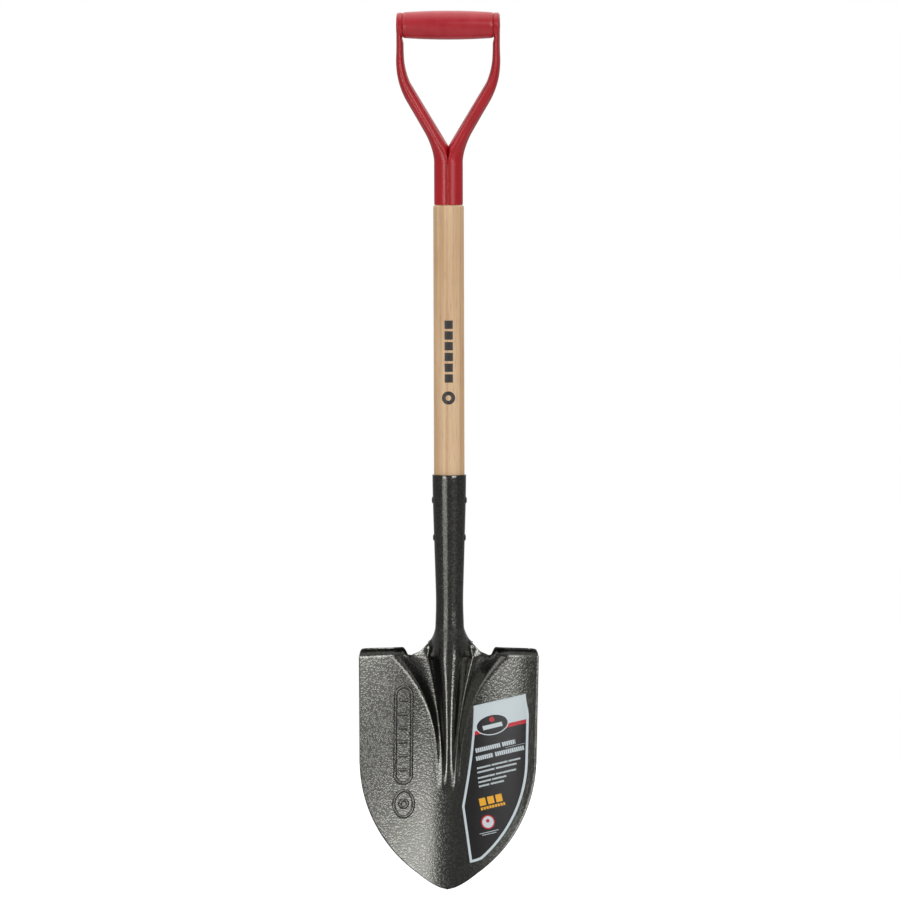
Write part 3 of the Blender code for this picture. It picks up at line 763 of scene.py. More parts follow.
class SheetForm:
    """Middle surface of the stamped sheet, from the blade's point to the socket's mouth."""

    def __init__(self):
        shovel = sizes()
        self.steel = shovel.blade.steel
        self.arc_radius = shovel.blade.arc_radius
        self.arc_x = shovel.blade.arc_x
        self.arc_z = shovel.blade.arc_z
        self.blunt = shovel.blade.blunt
        self.lean_top = shovel.blade.lean_top
        self.dish = shovel.blade.dish
        self.dish_width = shovel.blade.dish_width
        self.frog_top = shovel.frog.top
        self.frog_foot = shovel.frog.foot
        self.ridge = shovel.frog.ridge
        self.valley = shovel.frog.valley
        self.frog = shovel.frog
        self.neck_top = shovel.frog.neck_top
        self.step = shovel.step
        self.tip = self.arc_z - math.sqrt(self.arc_radius**2 - self.arc_x**2)
        self.blunt_width = self.half_width(self.tip + self.blunt)
        self.foot_width = self.half_width(self.frog_foot)

    def half_width(self, height):
        """Outline: a blunted point, an arc up to the sides, then a slight flare."""
        above_tip = height - self.tip
        if above_tip < self.blunt:
            return self.blunt_width * max(0.0, above_tip / self.blunt) ** BLUNT_POWER
        if height >= self.arc_z:
            return self.arc_x + self.arc_radius + (height - self.arc_z) * SIDE_FLARE
        return self.arc_x + math.sqrt(self.arc_radius**2 - (height - self.arc_z) ** 2)

    def wing_y(self, x, height):
        """Lean and dish, without the frog."""
        drop = self.lean_top - height
        lean = -(LEAN_SLOPE * drop + LEAN_CURVE * max(drop, 0.0) ** 2)
        return lean - self.dish * (x / self.dish_width) ** 2

    def frog_share(self, height, power):
        share = max(0.0, (height - self.frog_foot) / (self.frog_top - self.frog_foot))
        return share**power

    def strip_x(self, height):
        """Half width of the middle strip, the part that closes into the socket."""
        narrow = self.frog.strip_narrow
        if height > self.frog_foot:
            spread = min(1.0, self.frog_share(height, STRIP_POWER))
            return narrow + (self.frog.strip_wide - narrow) * spread
        return narrow * self.half_width(height) / self.foot_width

    def frog_rise(self, x, height):
        """How far the frog moves the sheet back from the plain wing; the ridge stands forward."""
        valley = VALLEY_SHARE * self.strip_x(height)
        ridge = self.ridge * self.frog_share(height, RIDGE_POWER)
        depth = self.valley * self.frog_share(height, VALLEY_POWER)
        if x <= valley:
            return -ridge + (ridge + depth) * smooth_step((x / valley) ** RIDGE_CURVE)
        narrow = self.frog.strip_narrow
        spread = self.frog_share(height, SHOULDER_POWER)
        shoulder = narrow + (self.frog.shoulder_wide - narrow) * spread
        part = (x - valley) / (shoulder - valley)
        total = 0.0
        for offset, weight in SHOULDER_TAPS:
            place = min(max(part + offset * part, 0.0), 1.0)
            total += weight * (1 - place**SHOULDER_CURVE)
        return depth * total

    def sheet_point(self, x, height):
        return Vector((x, self.wing_y(x, height) + self.frog_rise(x, height), height))

    def frog_point(self, share, height):
        """Point of the open strip: the crest at share 0, the strip's edge at 1."""
        edge = self.strip_x(height)
        valley = VALLEY_SHARE * edge
        if share <= VALLEY_COLUMN_SHARE:
            return self.sheet_point(valley * share / VALLEY_COLUMN_SHARE, height)
        part = (share - VALLEY_COLUMN_SHARE) / (1 - VALLEY_COLUMN_SHARE)
        return self.sheet_point(valley + (edge - valley) * part, height)

    def socket_point(self, share, height):
        radius = soft_stations(SOCKET_OUTSIDE, height) / 2 - self.steel / 2
        angle = share * (math.pi - SEAM_HALF_ANGLE)
        return Vector((radius * math.sin(angle), -radius * math.cos(angle), height))

    def neck_blend(self, height):
        """0 where the section is the open frog, 1 where it is the closed socket."""
        share = min(max((height - self.frog_top) / (self.neck_top - self.frog_top), 0.0), 1.0)
        if share < NECK_EASE:
            value = share * share / (2 * NECK_EASE)
        elif share > 1 - NECK_EASE:
            value = 1 - NECK_EASE - (1 - share) ** 2 / (2 * NECK_EASE)
        else:
            value = share - NECK_EASE / 2
        return value / (1 - NECK_EASE)

    def trimmed_share(self, share, height):
        """The strip's share, pulled in where its edge is trimmed above the notch."""
        frog = self.frog
        trim = EDGE_TRIM * smooth_step((height - self.step.notch) / frog.trim_rise)
        trim *= 1 - smooth_step((height - frog.trim_fall) / (frog.trim_end - frog.trim_fall))
        return share - trim * max(0.0, share - VALLEY_COLUMN_SHARE)

    def core_point(self, share, height):
        """Point of the middle strip, which runs from the tip to the socket's mouth."""
        share = self.trimmed_share(share, height)
        blend = self.neck_blend(height)
        if blend <= 0:
            return self.frog_point(share, height)
        if blend >= 1:
            return self.socket_point(share, height)
        return self.frog_point(share, height).lerp(self.socket_point(share, height), blend)

    def step_share(self, x):
        """How far the foot step has formed: 0 at the notch, 1 along the step."""
        return smooth_step((x - self.step.inner) / (self.step.full - self.step.inner))

    def wing_point(self, share, row_height):
        """Point of the wing below the step's bend."""
        inner = self.strip_x(row_height)
        climb = self.step.bend_start - self.frog_top
        climb *= (row_height / self.frog_top) ** CLIMB_POWER
        x = inner + (self.half_width(row_height + climb) - inner) * share
        height = row_height
        if row_height >= self.frog_foot:
            height += climb * self.step_share(x)
        return self.sheet_point(x, height)

    def step_point(self, share, along):
        """Point of the foot step's bend and flat; along runs from 0 to 1 at the lip."""
        step = self.step
        base = self.wing_point(share, self.frog_top)
        bend_length = step.bend_radius * math.pi / 2
        travel = along * (bend_length + step.flat)
        up = Vector((0, LEAN_SLOPE, 1)).normalized()
        forward = Vector((0, -1, LEAN_SLOPE)).normalized()
        turn = min(travel / step.bend_radius, math.pi / 2)
        flat = max(0.0, travel - bend_length)
        reach = step.bend_radius * (1 - math.cos(turn)) + flat
        bent = up * step.bend_radius * math.sin(turn) + forward * reach
        plain = Vector((0, 0, along * (step.notch - self.frog_top)))
        formed = self.step_share(base.x)
        past = min(1.0, (travel + step.corner_drop) / step.corner_z)
        trim = step.corner_x * (1 - math.sqrt(1 - past**2)) * share
        point = base + plain.lerp(bent, formed)
        point.x -= trim * formed
        return point

    def outward(self, x, height):
        """Unit vector out of the digging face, on the plain wing."""
        reach = 0.5 * MM
        slope_x = (self.wing_y(x + reach, height) - self.wing_y(x - reach, height)) / (2 * reach)
        slope_z = (self.wing_y(x, height + reach) - self.wing_y(x, height - reach)) / (2 * reach)
        return Vector((slope_x, -1, slope_z)).normalized()


# Rows of faces up to the frog's top, over the bend, over the neck and up the socket.
BLADE_ROWS = (124, 14, 26, 44)
EDGE_ANGLE = math.radians(50)


def even_steps(low, high, count):
    """count heights after low, the last one being high."""
    return [low + (high - low) * (step + 1) / count for step in range(count)]


class SHOVEL_OT_blade(bpy.types.Operator):
    """Make the stamped blade with its frog, foot steps and rolled socket"""

    bl_idname = "shovel.blade"
    bl_label = "Blade"

    core_columns: IntProperty(name="Core", description="Faces from ridge to crease", default=36)
    wing_columns: IntProperty(name="Wing", description="Faces from crease to edge", default=40)

    def execute(self, context):
        form = SheetForm()
        shovel = sizes()
        levels = (form.tip, form.frog_top, form.step.notch, form.neck_top, shovel.socket.top)
        below, bend, neck, socket = (
            even_steps(low, high, count)
            for low, high, count in zip(levels, levels[1:], BLADE_ROWS)
        )
        build = bmesh.new()
        tip = build.verts.new((0, form.wing_y(0, form.tip), form.tip))
        reach = self.core_columns + self.wing_columns
        rows = []
        for index, height in enumerate(below + bend + neck + socket):
            row = {}
            for place in range(reach + 1):
                point = self.grid_point(form, place, index, height, len(below), len(bend))
                if point is None:
                    continue
                row[place] = build.verts.new(point)
                if place:
                    row[-place] = build.verts.new((-point.x, point.y, point.z))
            rows.append(row)
        for column in range(-reach, reach):
            build.faces.new((tip, rows[0][column + 1], rows[0][column]))
        for low, high in zip(rows, rows[1:]):
            for column in range(-reach, reach):
                if column in high and column + 1 in high:
                    build.faces.new((low[column], low[column + 1], high[column + 1], high[column]))
        piece = mesh_piece("blade_sheet", build, [hammered_paint()], sharp=60)
        sheet = piece.modifiers.new("sheet", "SOLIDIFY")
        sheet.thickness = form.steel
        sheet.offset = 0.0
        sheet.use_even_offset = True
        edge = piece.modifiers.new("sheared_edge", "BEVEL")
        edge.width = 0.35 * MM
        edge.segments = 2
        edge.limit_method = "ANGLE"
        edge.angle_limit = EDGE_ANGLE
        apply_modifiers(piece)
        piece.data.shade_smooth()
        piece.data.set_sharp_from_angle(angle=EDGE_ANGLE)
        keep(piece, "blade_paint", "blade")
        return {"FINISHED"}

    def grid_point(self, form, place, index, height, below, bend):
        """Point of one grid place, or None above the wing's top edge."""
        if place <= self.core_columns:
            return form.core_point(place / self.core_columns, height)
        share = ((place - self.core_columns) / self.wing_columns) ** WING_SPACING
        if index < below:
            return form.wing_point(share, height)
        if index < below + bend:
            return form.step_point(share, (index - below + 1) / bend)
        return None


# ---------------------------------------------------------------- stamped mark


# Half of the bead's section, from its foot to its crest, as (sideways, up) millimetres.
BEAD_HALF = ((2.5, -0.35), (1.95, 0.45), (1.05, 1.35))
BEAD_CREST = (0.0, 1.65)

# Middle and half size of the obround's rounds, with the length of its straight sides.
OBROUND = ((-56.5 * MM, 191 * MM), 10 * MM, 98 * MM)
RIBS = 6
RIB_PITCH = 17 * MM
RIB_LENGTH = 11 * MM
RING_MIDDLE = (-55.5 * MM, 107 * MM)


def bead_path(build, form, points, closed):
    """Low rounded bead pressed out of the left wing along a path of (x, height) points."""
    profile = [(-across, up) for across, up in BEAD_HALF] + [BEAD_CREST, *reversed(BEAD_HALF)]
    rings = []
    count = len(points)
    for index, (x, height) in enumerate(points):
        before = points[(index - 1) % count] if closed else points[max(index - 1, 0)]
        after = points[(index + 1) % count] if closed else points[min(index + 1, count - 1)]
        out = form.outward(x, height)
        run = Vector((after[0] - before[0], 0, after[1] - before[1]))
        side = run.cross(out).normalized()
        place = Vector((x, form.wing_y(x, height), height)) + out * form.steel / 2
        ring = []
        for across, up in profile:
            ring.append(build.verts.new(place + side * across * MM + out * up * MM))
        rings.append(ring)
    if closed:
        rings.append(rings[0])
    bridge_rings(build, rings)
    if not closed:
        build.faces.new(rings[0])
        build.faces.new(rings[-1])


def round_path(middle, radius_x, radius_z, count, straight=0.0):
    """Closed path: a circle, or an obround where straight is the length of its straight sides."""
    points = []
    for step in range(count):
        angle = 2 * math.pi * (step + 0.5) / count
        lift = straight / 2 if math.sin(angle) > 0 else -straight / 2
        rise = radius_z * math.sin(angle) + lift
        points.append((middle[0] + radius_x * math.cos(angle), middle[1] + rise))
    if straight:
        return fill_gaps(points, 3 * MM)
    return points


def fill_gaps(points, spacing):
    """Add points to a closed path so that none are further apart than the spacing."""
    filled = []
    for start, end in zip(points, points[1:] + points[:1]):
        distance = math.hypot(end[0] - start[0], end[1] - start[1])
        pieces = max(1, round(distance / spacing))
        for step in range(pieces):
            place = Vector(start).lerp(Vector(end), step / pieces)
            filled.append((place.x, place.y))
    return filled


class SHOVEL_OT_mark(bpy.types.Operator):
    """Make the plain stamped mark on the left wing: an obround with ribs, and a ring"""

    bl_idname = "shovel.mark"
    bl_label = "Stamped mark"

    def execute(self, context):
        form = SheetForm()
        build = bmesh.new()
        middle, radius, straight = OBROUND
        bead_path(build, form, round_path(middle, radius, radius, 40, straight), True)
        for step in range(RIBS):
            height = middle[1] + (step - (RIBS - 1) / 2) * RIB_PITCH
            shares = (-0.5, -0.25, 0, 0.25, 0.5)
            rib = [(middle[0] + share * RIB_LENGTH, height) for share in shares]
            bead_path(build, form, rib, False)
        bead_path(build, form, round_path(RING_MIDDLE, 12 * MM, 16 * MM, 48), True)
        bead_path(build, form, round_path(RING_MIDDLE, 4.5 * MM, 4.5 * MM, 24), True)
        paint = bpy.data.materials["hammered_grey_paint"]
        piece = mesh_piece("stamped_mark", build, [paint], sharp=80)
        keep(piece, "blade_paint")
        return {"FINISHED"}


# ---------------------------------------------------------------- label


# Corners of the sticker, and the left end of its printed ribbon, as (x, height).
LABEL_TOP = ((30.4 * MM, 226.3 * MM), (96.1 * MM, 242.2 * MM))
LABEL_ELBOW = (17.1 * MM, 103.4 * MM)
LABEL_POINT = (27.9 * MM, 34.8 * MM)
PRINT_ORIGIN = (35.6 * MM, 193.6 * MM)

# Shares of the sticker's height over which its point opens and its upper right corner forms.
POINT_SHARE = 0.02
CORNER_SHARE = 0.14
POINT_WIDTH = 0.8 * MM


def label_edges(form, margin, share):
    """Left and right ends of the label at this share of its height, as (x, height) pairs."""
    (left_x, left_z), (right_x, right_z) = LABEL_TOP
    elbow_share = (LABEL_ELBOW[1] - LABEL_POINT[1]) / (left_z - LABEL_POINT[1])
    left_height = LABEL_POINT[1] + (left_z - LABEL_POINT[1]) * share
    if share < elbow_share:
        left = LABEL_POINT[0] + (LABEL_ELBOW[0] - LABEL_POINT[0]) * share / elbow_share
    else:
        rise = (share - elbow_share) / (1 - elbow_share)
        left = LABEL_ELBOW[0] + (left_x - LABEL_ELBOW[0]) * math.sin(rise * math.pi / 2)
    right_height = LABEL_POINT[1] + (right_z - LABEL_POINT[1]) * share
    slope = (form.half_width(right_height + MM) - form.half_width(right_height)) / MM
    right = form.half_width(right_height) - margin * math.sqrt(1 + slope * slope)
    right += (right_x - right) * smooth_step((share - (1 - CORNER_SHARE)) / CORNER_SHARE)
    right = left + (right - left) * min(1.0, share / POINT_SHARE) ** 0.5
    right = max(right, left + POINT_WIDTH)
    return (left, left_height), (right, right_height)


def edge_distance(point, outline):
    """Shortest distance from a point to a closed outline."""
    best = 1.0
    for start, end in zip(outline, outline[1:] + outline[:1]):
        run = (end[0] - start[0], end[1] - start[1])
        size = run[0] ** 2 + run[1] ** 2
        if size == 0:
            continue
        share = ((point[0] - start[0]) * run[0] + (point[1] - start[1]) * run[1]) / size
        share = min(max(share, 0.0), 1.0)
        across = point[0] - start[0] - run[0] * share
        best = min(best, math.hypot(across, point[1] - start[1] - run[1] * share))
    return best


class SHOVEL_OT_label(bpy.types.Operator):
    """Make the printed sticker on the right wing, with plain bars in place of words"""

    bl_idname = "shovel.label"
    bl_label = "Label"

    def execute(self, context):
        label = sizes().label
        form = SheetForm()
        lift = form.steel / 2 + GAP + label.thickness / 2
        rows, columns = 96, 40
        edges = [label_edges(form, label.margin, row / rows) for row in range(rows + 1)]
        outline = [left for left, _ in edges] + [right for _, right in reversed(edges)]
        build = bmesh.new()
        inset = build.verts.layers.float.new("inset")
        grid = []
        flat = {}
        for left, right in edges:
            line = []
            for column in range(columns + 1):
                share = column / columns
                x = left[0] + (right[0] - left[0]) * share
                z = left[1] + (right[1] - left[1]) * share
                place = Vector((x, form.wing_y(x, z), z)) + form.outward(x, z) * lift
                vertex = build.verts.new(place)
                vertex[inset] = edge_distance((x, z), outline)
                flat[vertex] = (x, z)
                line.append(vertex)
            grid.append(line)
        bridge_rings(build, grid, closed=False)
        self.lay_out_print(build, flat, label.slope)
        piece = mesh_piece("blade_label_film", build, [printed_film()])
        film = piece.modifiers.new("film", "SOLIDIFY")
        film.thickness = label.thickness
        film.offset = 0.0
        apply_modifiers(piece)
        keep(piece, "label_film", "blade_label")
        return {"FINISHED"}

    def lay_out_print(self, build, flat, slope):
        """UV map in metres, along and above the printed ribbon."""
        uv = build.loops.layers.uv.new("print")
        for face in build.faces:
            for loop in face.loops:
                x, z = flat[loop.vert]
                run, rise = x - PRINT_ORIGIN[0], z - PRINT_ORIGIN[1]
                loop[uv].uv = (
                    run * math.cos(slope) + rise * math.sin(slope),
                    rise * math.cos(slope) - run * math.sin(slope),
                )


# ---------------------------------------------------------------- shaft


class SHOVEL_OT_shaft(bpy.types.Operator):
    """Make the lacquered ash shaft with its hidden taper and tenon"""

    bl_idname = "shovel.shaft"
    bl_label = "Shaft"

    def execute(self, context):
        shovel = sizes()
        shaft = shovel.shaft
        clear = shovel.blade.steel + 1.5 * GAP
        mouth = shovel.socket.top
        profile = [(soft_stations(SOCKET_OUTSIDE, shaft.foot) / 2 - clear - 2 * MM, shaft.foot)]
        for height in even_steps(shaft.foot, mouth - 2 * MM, 24):
            profile.append((soft_stations(SOCKET_OUTSIDE, height) / 2 - clear, height))
        profile.append((shaft.radius - 0.2 * MM, mouth + 0.4 * MM))
        profile.append((shaft.radius, mouth + 1.4 * MM))
        for height in even_steps(mouth + 1.4 * MM, shaft.shoulder - shaft.edge_radius, 24):
            profile.append((shaft.radius, height))
        for step in range(1, 9):
            angle = math.radians(90 * step / 8)
            drop = shaft.edge_radius * (1 - math.cos(angle))
            rise = shaft.edge_radius * (math.sin(angle) - 1)
            profile.append((shaft.radius - drop, shaft.shoulder + rise))
        tenon = shovel.yoke.radius - shovel.yoke.wall - 1.5 * GAP
        profile.append((tenon, shaft.shoulder))
        profile.append((tenon, shaft.tenon_top - 1.5 * MM))
        profile.append((tenon - 1.5 * MM, shaft.tenon_top))
        build = bmesh.new()
        turned(build, profile)
        piece = mesh_piece("ash_shaft", build, [lacquered_ash()], sharp=40)
        keep(piece, "ash_wood", "handle_shaft")
        return {"FINISHED"}


# ---------------------------------------------------------------- yoke


ARM_START_X = 9 * MM
ARM_TOP = 1070 * MM

# Height at which the arm is cut back for the crossbar, the length of that cut, and what is left.
SEAT_FOOT = 1048.5 * MM
SEAT_RISE = 5 * MM
SEAT_THICK = 3.1 * MM


def arm_line(yoke):
    """Middle line of the right arm in the XZ plane as (x, height, angle from upright)."""
    first = math.asin((yoke.arm_visible - yoke.arm_foot) / yoke.lower_bend)
    points = []
    for step in range(17):
        angle = first + (ARM_ANGLE - first) * step / 16
        x = ARM_START_X + yoke.lower_bend * (1 - math.cos(angle))
        points.append((x, yoke.arm_foot + yoke.lower_bend * math.sin(angle), angle))
    low_x, low_z, _ = points[-1]
    high_x = yoke.arm_x - yoke.upper_bend * (1 - math.cos(ARM_ANGLE))
    high_z = low_z + (high_x - low_x) / math.tan(ARM_ANGLE)
    for step in range(1, 12):
        share = step / 12
        x = low_x + (high_x - low_x) * share
        points.append((x, low_z + (high_z - low_z) * share, ARM_ANGLE))
    for step in range(17):
        angle = ARM_ANGLE * (1 - step / 16)
        x = yoke.arm_x - yoke.upper_bend * (1 - math.cos(angle))
        z = high_z + yoke.upper_bend * (math.sin(ARM_ANGLE) - math.sin(angle))
        points.append((x, z, angle))
    for height in even_steps(points[-1][1], ARM_TOP, 14):
        points.append((yoke.arm_x, height, 0.0))
    return points


def inner_thickness(yoke, x, z, angle, half_thick):
    """Half thickness towards the other arm: filled out at the crotch, cut back at the crossbar."""
    to_crotch = x * math.cos(ARM_ANGLE) - (z - yoke.crotch) * math.sin(ARM_ANGLE)
    to_middle = x / math.cos(angle) + 0.4 * MM
    seat = smooth_step((z - SEAT_FOOT) / SEAT_RISE)
    plain = half_thick + (SEAT_THICK - half_thick) * seat
    return max(plain, min(to_crotch / math.cos(ARM_ANGLE - angle), to_middle))


def arm_section(around, half_thick, inner_thick, half_deep, roundness):
    """Section point at an angle from the outer side: a half disc at 0, an oval at 1."""
    side = math.cos(around)
    oval_x = (half_thick if side >= 0 else inner_thick) * side
    disc_x = half_deep * side - half_thick if side >= 0 else -inner_thick
    deep = half_deep * math.sin(around)
    return Vector((disc_x, deep)).lerp(Vector((oval_x, deep)), roundness)


# The fold line's angle round the arm at the crotch, and how far it turns to the front above it.
FOLD_ANGLE = 172
FOLD_TURN = 40
FOLD_WIDTH = 1.6 * MM


def sweep_arm(build, yoke, side):
    """One folded arm, with the line where its edges meet running up its inner front."""
    count = 56
    rings = []
    for x, z, angle in arm_line(yoke):
        half_thick = soft_stations(ARM_SECTIONS, z, 1, 6 * MM)
        half_deep = soft_stations(ARM_SECTIONS, z, 2, 6 * MM)
        inner_thick = inner_thickness(yoke, x, z, angle, half_thick)
        roundness = smooth_step((z - yoke.arm_foot) / yoke.rounding)
        shape = (half_thick, inner_thick, half_deep, roundness)
        turned_share = smooth_step((z - yoke.crotch) / (40 * MM))
        fold = math.radians(FOLD_ANGLE - FOLD_TURN * turned_share)
        depth = yoke.fold * smooth_step((z - yoke.crotch - 4 * MM) / (14 * MM))
        half_gap = FOLD_WIDTH / 2 / (half_thick + half_deep)
        ring = []
        for step in range(count):
            around = fold + half_gap + (2 * math.pi - 2 * half_gap) * step / (count - 1)
            ring.append(arm_section(around, *shape))
        bottom = arm_section(fold, *shape)
        ring.append(bottom * (1 - depth / bottom.length))
        along, drop = math.cos(angle), math.sin(angle)
        places = [(side * (x + point.x * along), -point.y, z - point.x * drop) for point in ring]
        rings.append([build.verts.new(place) for place in places])
    bridge_rings(build, rings)
    build.faces.new(rings[0])
    build.faces.new(rings[-1])


def roll_ferrule(build, yoke, foot):
    """Rolled ferrule, open at its front seam, with both edges turned slightly in."""
    outer, inner = yoke.radius, yoke.radius - yoke.wall
    gap = yoke.seam / 2 / outer
    count = 96
    columns = []
    for step in range(count + 1):
        angle = gap + (2 * math.pi - 2 * gap) * step / count
        ease = 1 - smooth_step(min(step, count - step) / 3)
        columns.append((angle, outer - 0.35 * MM * ease))
    levels = [foot, foot + 0.5 * MM] + even_steps(foot + 0.5 * MM, yoke.top, 30)
    rings = []
    for angle, outside in columns:
        ring = [(outside - 0.4 * MM, levels[0])]
        ring += [(outside, height) for height in levels[1:]]
        ring += [(inner, height) for height in reversed(levels)]
        across, deep = math.sin(angle), -math.cos(angle)
        rings.append(
            [build.verts.new((radius * across, radius * deep, height)) for radius, height in ring]
        )
    bridge_rings(build, rings)
    build.faces.new(rings[0])
    build.faces.new(rings[-1])


def round_ear(build, grip, side):
    """Ear at the end of the crossbar, its rim well rounded and its face slightly domed."""
    rim = 2.6 * MM
    face = grip.ear_outside
    profile = [(grip.ear_radius - 0.5 * MM, grip.ear_inside)]
    profile.append((grip.ear_radius, grip.ear_inside + 0.5 * MM))
    for step in range(7):
        angle = math.radians(90 * step / 6)
        inset, drop = rim * (1 - math.cos(angle)), rim * (1 - math.sin(angle))
        profile.append((grip.ear_radius - inset, face - drop - 0.35 * MM))
    profile.append((0.72 * grip.ear_radius, face - 0.1 * MM))
    profile.append((grip.rod_head + GAP, face))
    profile.append((grip.rod_head + GAP, face - 1.2 * MM))
    profile = [(radius, side * place) for radius, place in profile]
    turned(build, profile, 64, "X", grip.height)


class SHOVEL_OT_yoke(bpy.types.Operator):
    """Make the red steel yoke: rolled ferrule, two folded arms and two ears"""

    bl_idname = "shovel.yoke"
    bl_label = "Yoke"

    def execute(self, context):
        shovel = sizes()
        build = bmesh.new()
        roll_ferrule(build, shovel.yoke, shovel.shaft.shoulder + GAP)
        for side in (-1, 1):
            sweep_arm(build, shovel.yoke, side)
            round_ear(build, shovel.grip, side)
        paint = enamel("red_sprayed_enamel", shovel.colours.enamel, roughness=0.30, orange_peel=0.03)
        piece = mesh_piece("d_yoke_enamelled", build, [paint], sharp=38)
        keep(piece, "red_enamel", "d_yoke")
        return {"FINISHED"}


# ---------------------------------------------------------------- geometry nodes


def new_shape(name, inputs):
    """A geometry node tree with these named inputs, and the outputs that carry them."""
    tree = bpy.data.node_groups.new(name, "GeometryNodeTree")
    for label, kind in inputs.items():
        tree.interface.new_socket(label, in_out="INPUT", socket_type=f"NodeSocket{kind}")
    tree.interface.new_socket("Geometry", in_out="OUTPUT", socket_type="NodeSocketGeometry")
    return tree, add_node(tree, "NodeGroupInput").outputs


def close_shape(tree, geometry, material):
    """End a tree in Realize Instances and Set Material."""
    real = add_node(tree, "GeometryNodeRealizeInstances", {"Geometry": geometry})
    smooth = add_node(tree, "GeometryNodeSetShadeSmooth", {"Geometry": real})
    painted = add_node(tree, "GeometryNodeSetMaterial", {"Geometry": smooth, "Material": material})
    add_node(tree, "NodeGroupOutput", {0: painted})
    return tree


def grow(name, tree, inputs):
    """Run a geometry node tree on an empty object and keep its plain mesh."""
    piece = new_object(name, bpy.data.meshes.new(name), [])
    modifier = piece.modifiers.new("shape", "NODES")
    modifier.node_group = tree
    for item in tree.interface.items_tree:
        if item.in_out == "INPUT" and item.name in inputs:
            modifier[item.identifier] = inputs[item.name]
    apply_modifiers(piece)
    mesh = piece.data
    build = bmesh.new()
    build.from_mesh(mesh)
    bmesh.ops.remove_doubles(build, verts=build.verts, dist=0.001 * MM)
    bmesh.ops.recalc_face_normals(build, faces=build.faces)
    build.to_mesh(mesh)
    build.free()
    mesh.set_sharp_from_angle(angle=math.radians(35))
    return piece


def barrel_tree():
    """Geometry nodes for a barrel-shaped bar along X: a line whose radius falls off as its
    square, with a slightly rounded edge at each end."""
    tree, given = new_shape(
        "barrel_bar",
        {
            "Half Length": "Float",
            "Middle Radius": "Float",
            "End Radius": "Float",
            "Height": "Float",
            "Sides": "Int",
            "Paint": "Material",
        },
    )
    half, height = given["Half Length"], given["Height"]
    thick, thin = given["Middle Radius"], given["End Radius"]
    minus = add_node(tree, "ShaderNodeMath", {0: half, 1: -1.0}, operation="MULTIPLY")
    start = add_node(tree, "ShaderNodeCombineXYZ", {0: minus, 2: height})
    end = add_node(tree, "ShaderNodeCombineXYZ", {0: half, 2: height})
    line = add_node(tree, "GeometryNodeCurvePrimitiveLine", {"Start": start, "End": end})
    fine = add_node(tree, "GeometryNodeResampleCurve", {"Curve": line, "Count": 64})
    share = add_node(tree, "GeometryNodeSplineParameter").outputs["Factor"]
    share = add_node(tree, "ShaderNodeMath", {0: share, 1: 0.5}, operation="SUBTRACT")
    share = add_node(tree, "ShaderNodeMath", {0: share, 1: 2.0}, operation="MULTIPLY")
    square = add_node(tree, "ShaderNodeMath", {0: share, 1: share}, operation="MULTIPLY")
    fall = add_node(tree, "ShaderNodeMath", {0: thick, 1: thin}, operation="SUBTRACT")
    fall = add_node(tree, "ShaderNodeMath", {0: fall, 1: square}, operation="MULTIPLY")
    radius = add_node(tree, "ShaderNodeMath", {0: thick, 1: fall}, operation="SUBTRACT")
    edge = add_node(tree, "ShaderNodeMath", {0: share}, operation="ABSOLUTE")
    edge = add_node(tree, "ShaderNodeMath", {0: edge, 1: 60.0}, operation="POWER")
    edge = add_node(tree, "ShaderNodeMath", {0: edge, 1: 0.9 * MM}, operation="MULTIPLY")
    radius = add_node(tree, "ShaderNodeMath", {0: radius, 1: edge}, operation="SUBTRACT")
    ring = add_node(
        tree, "GeometryNodeCurvePrimitiveCircle", {"Resolution": given["Sides"], "Radius": 1.0}
    )
    body = add_node(
        tree,
        "GeometryNodeCurveToMesh",
        {"Curve": fine, "Profile Curve": ring, "Scale": radius, "Fill Caps": True},
    )
    return close_shape(tree, body, given["Paint"])


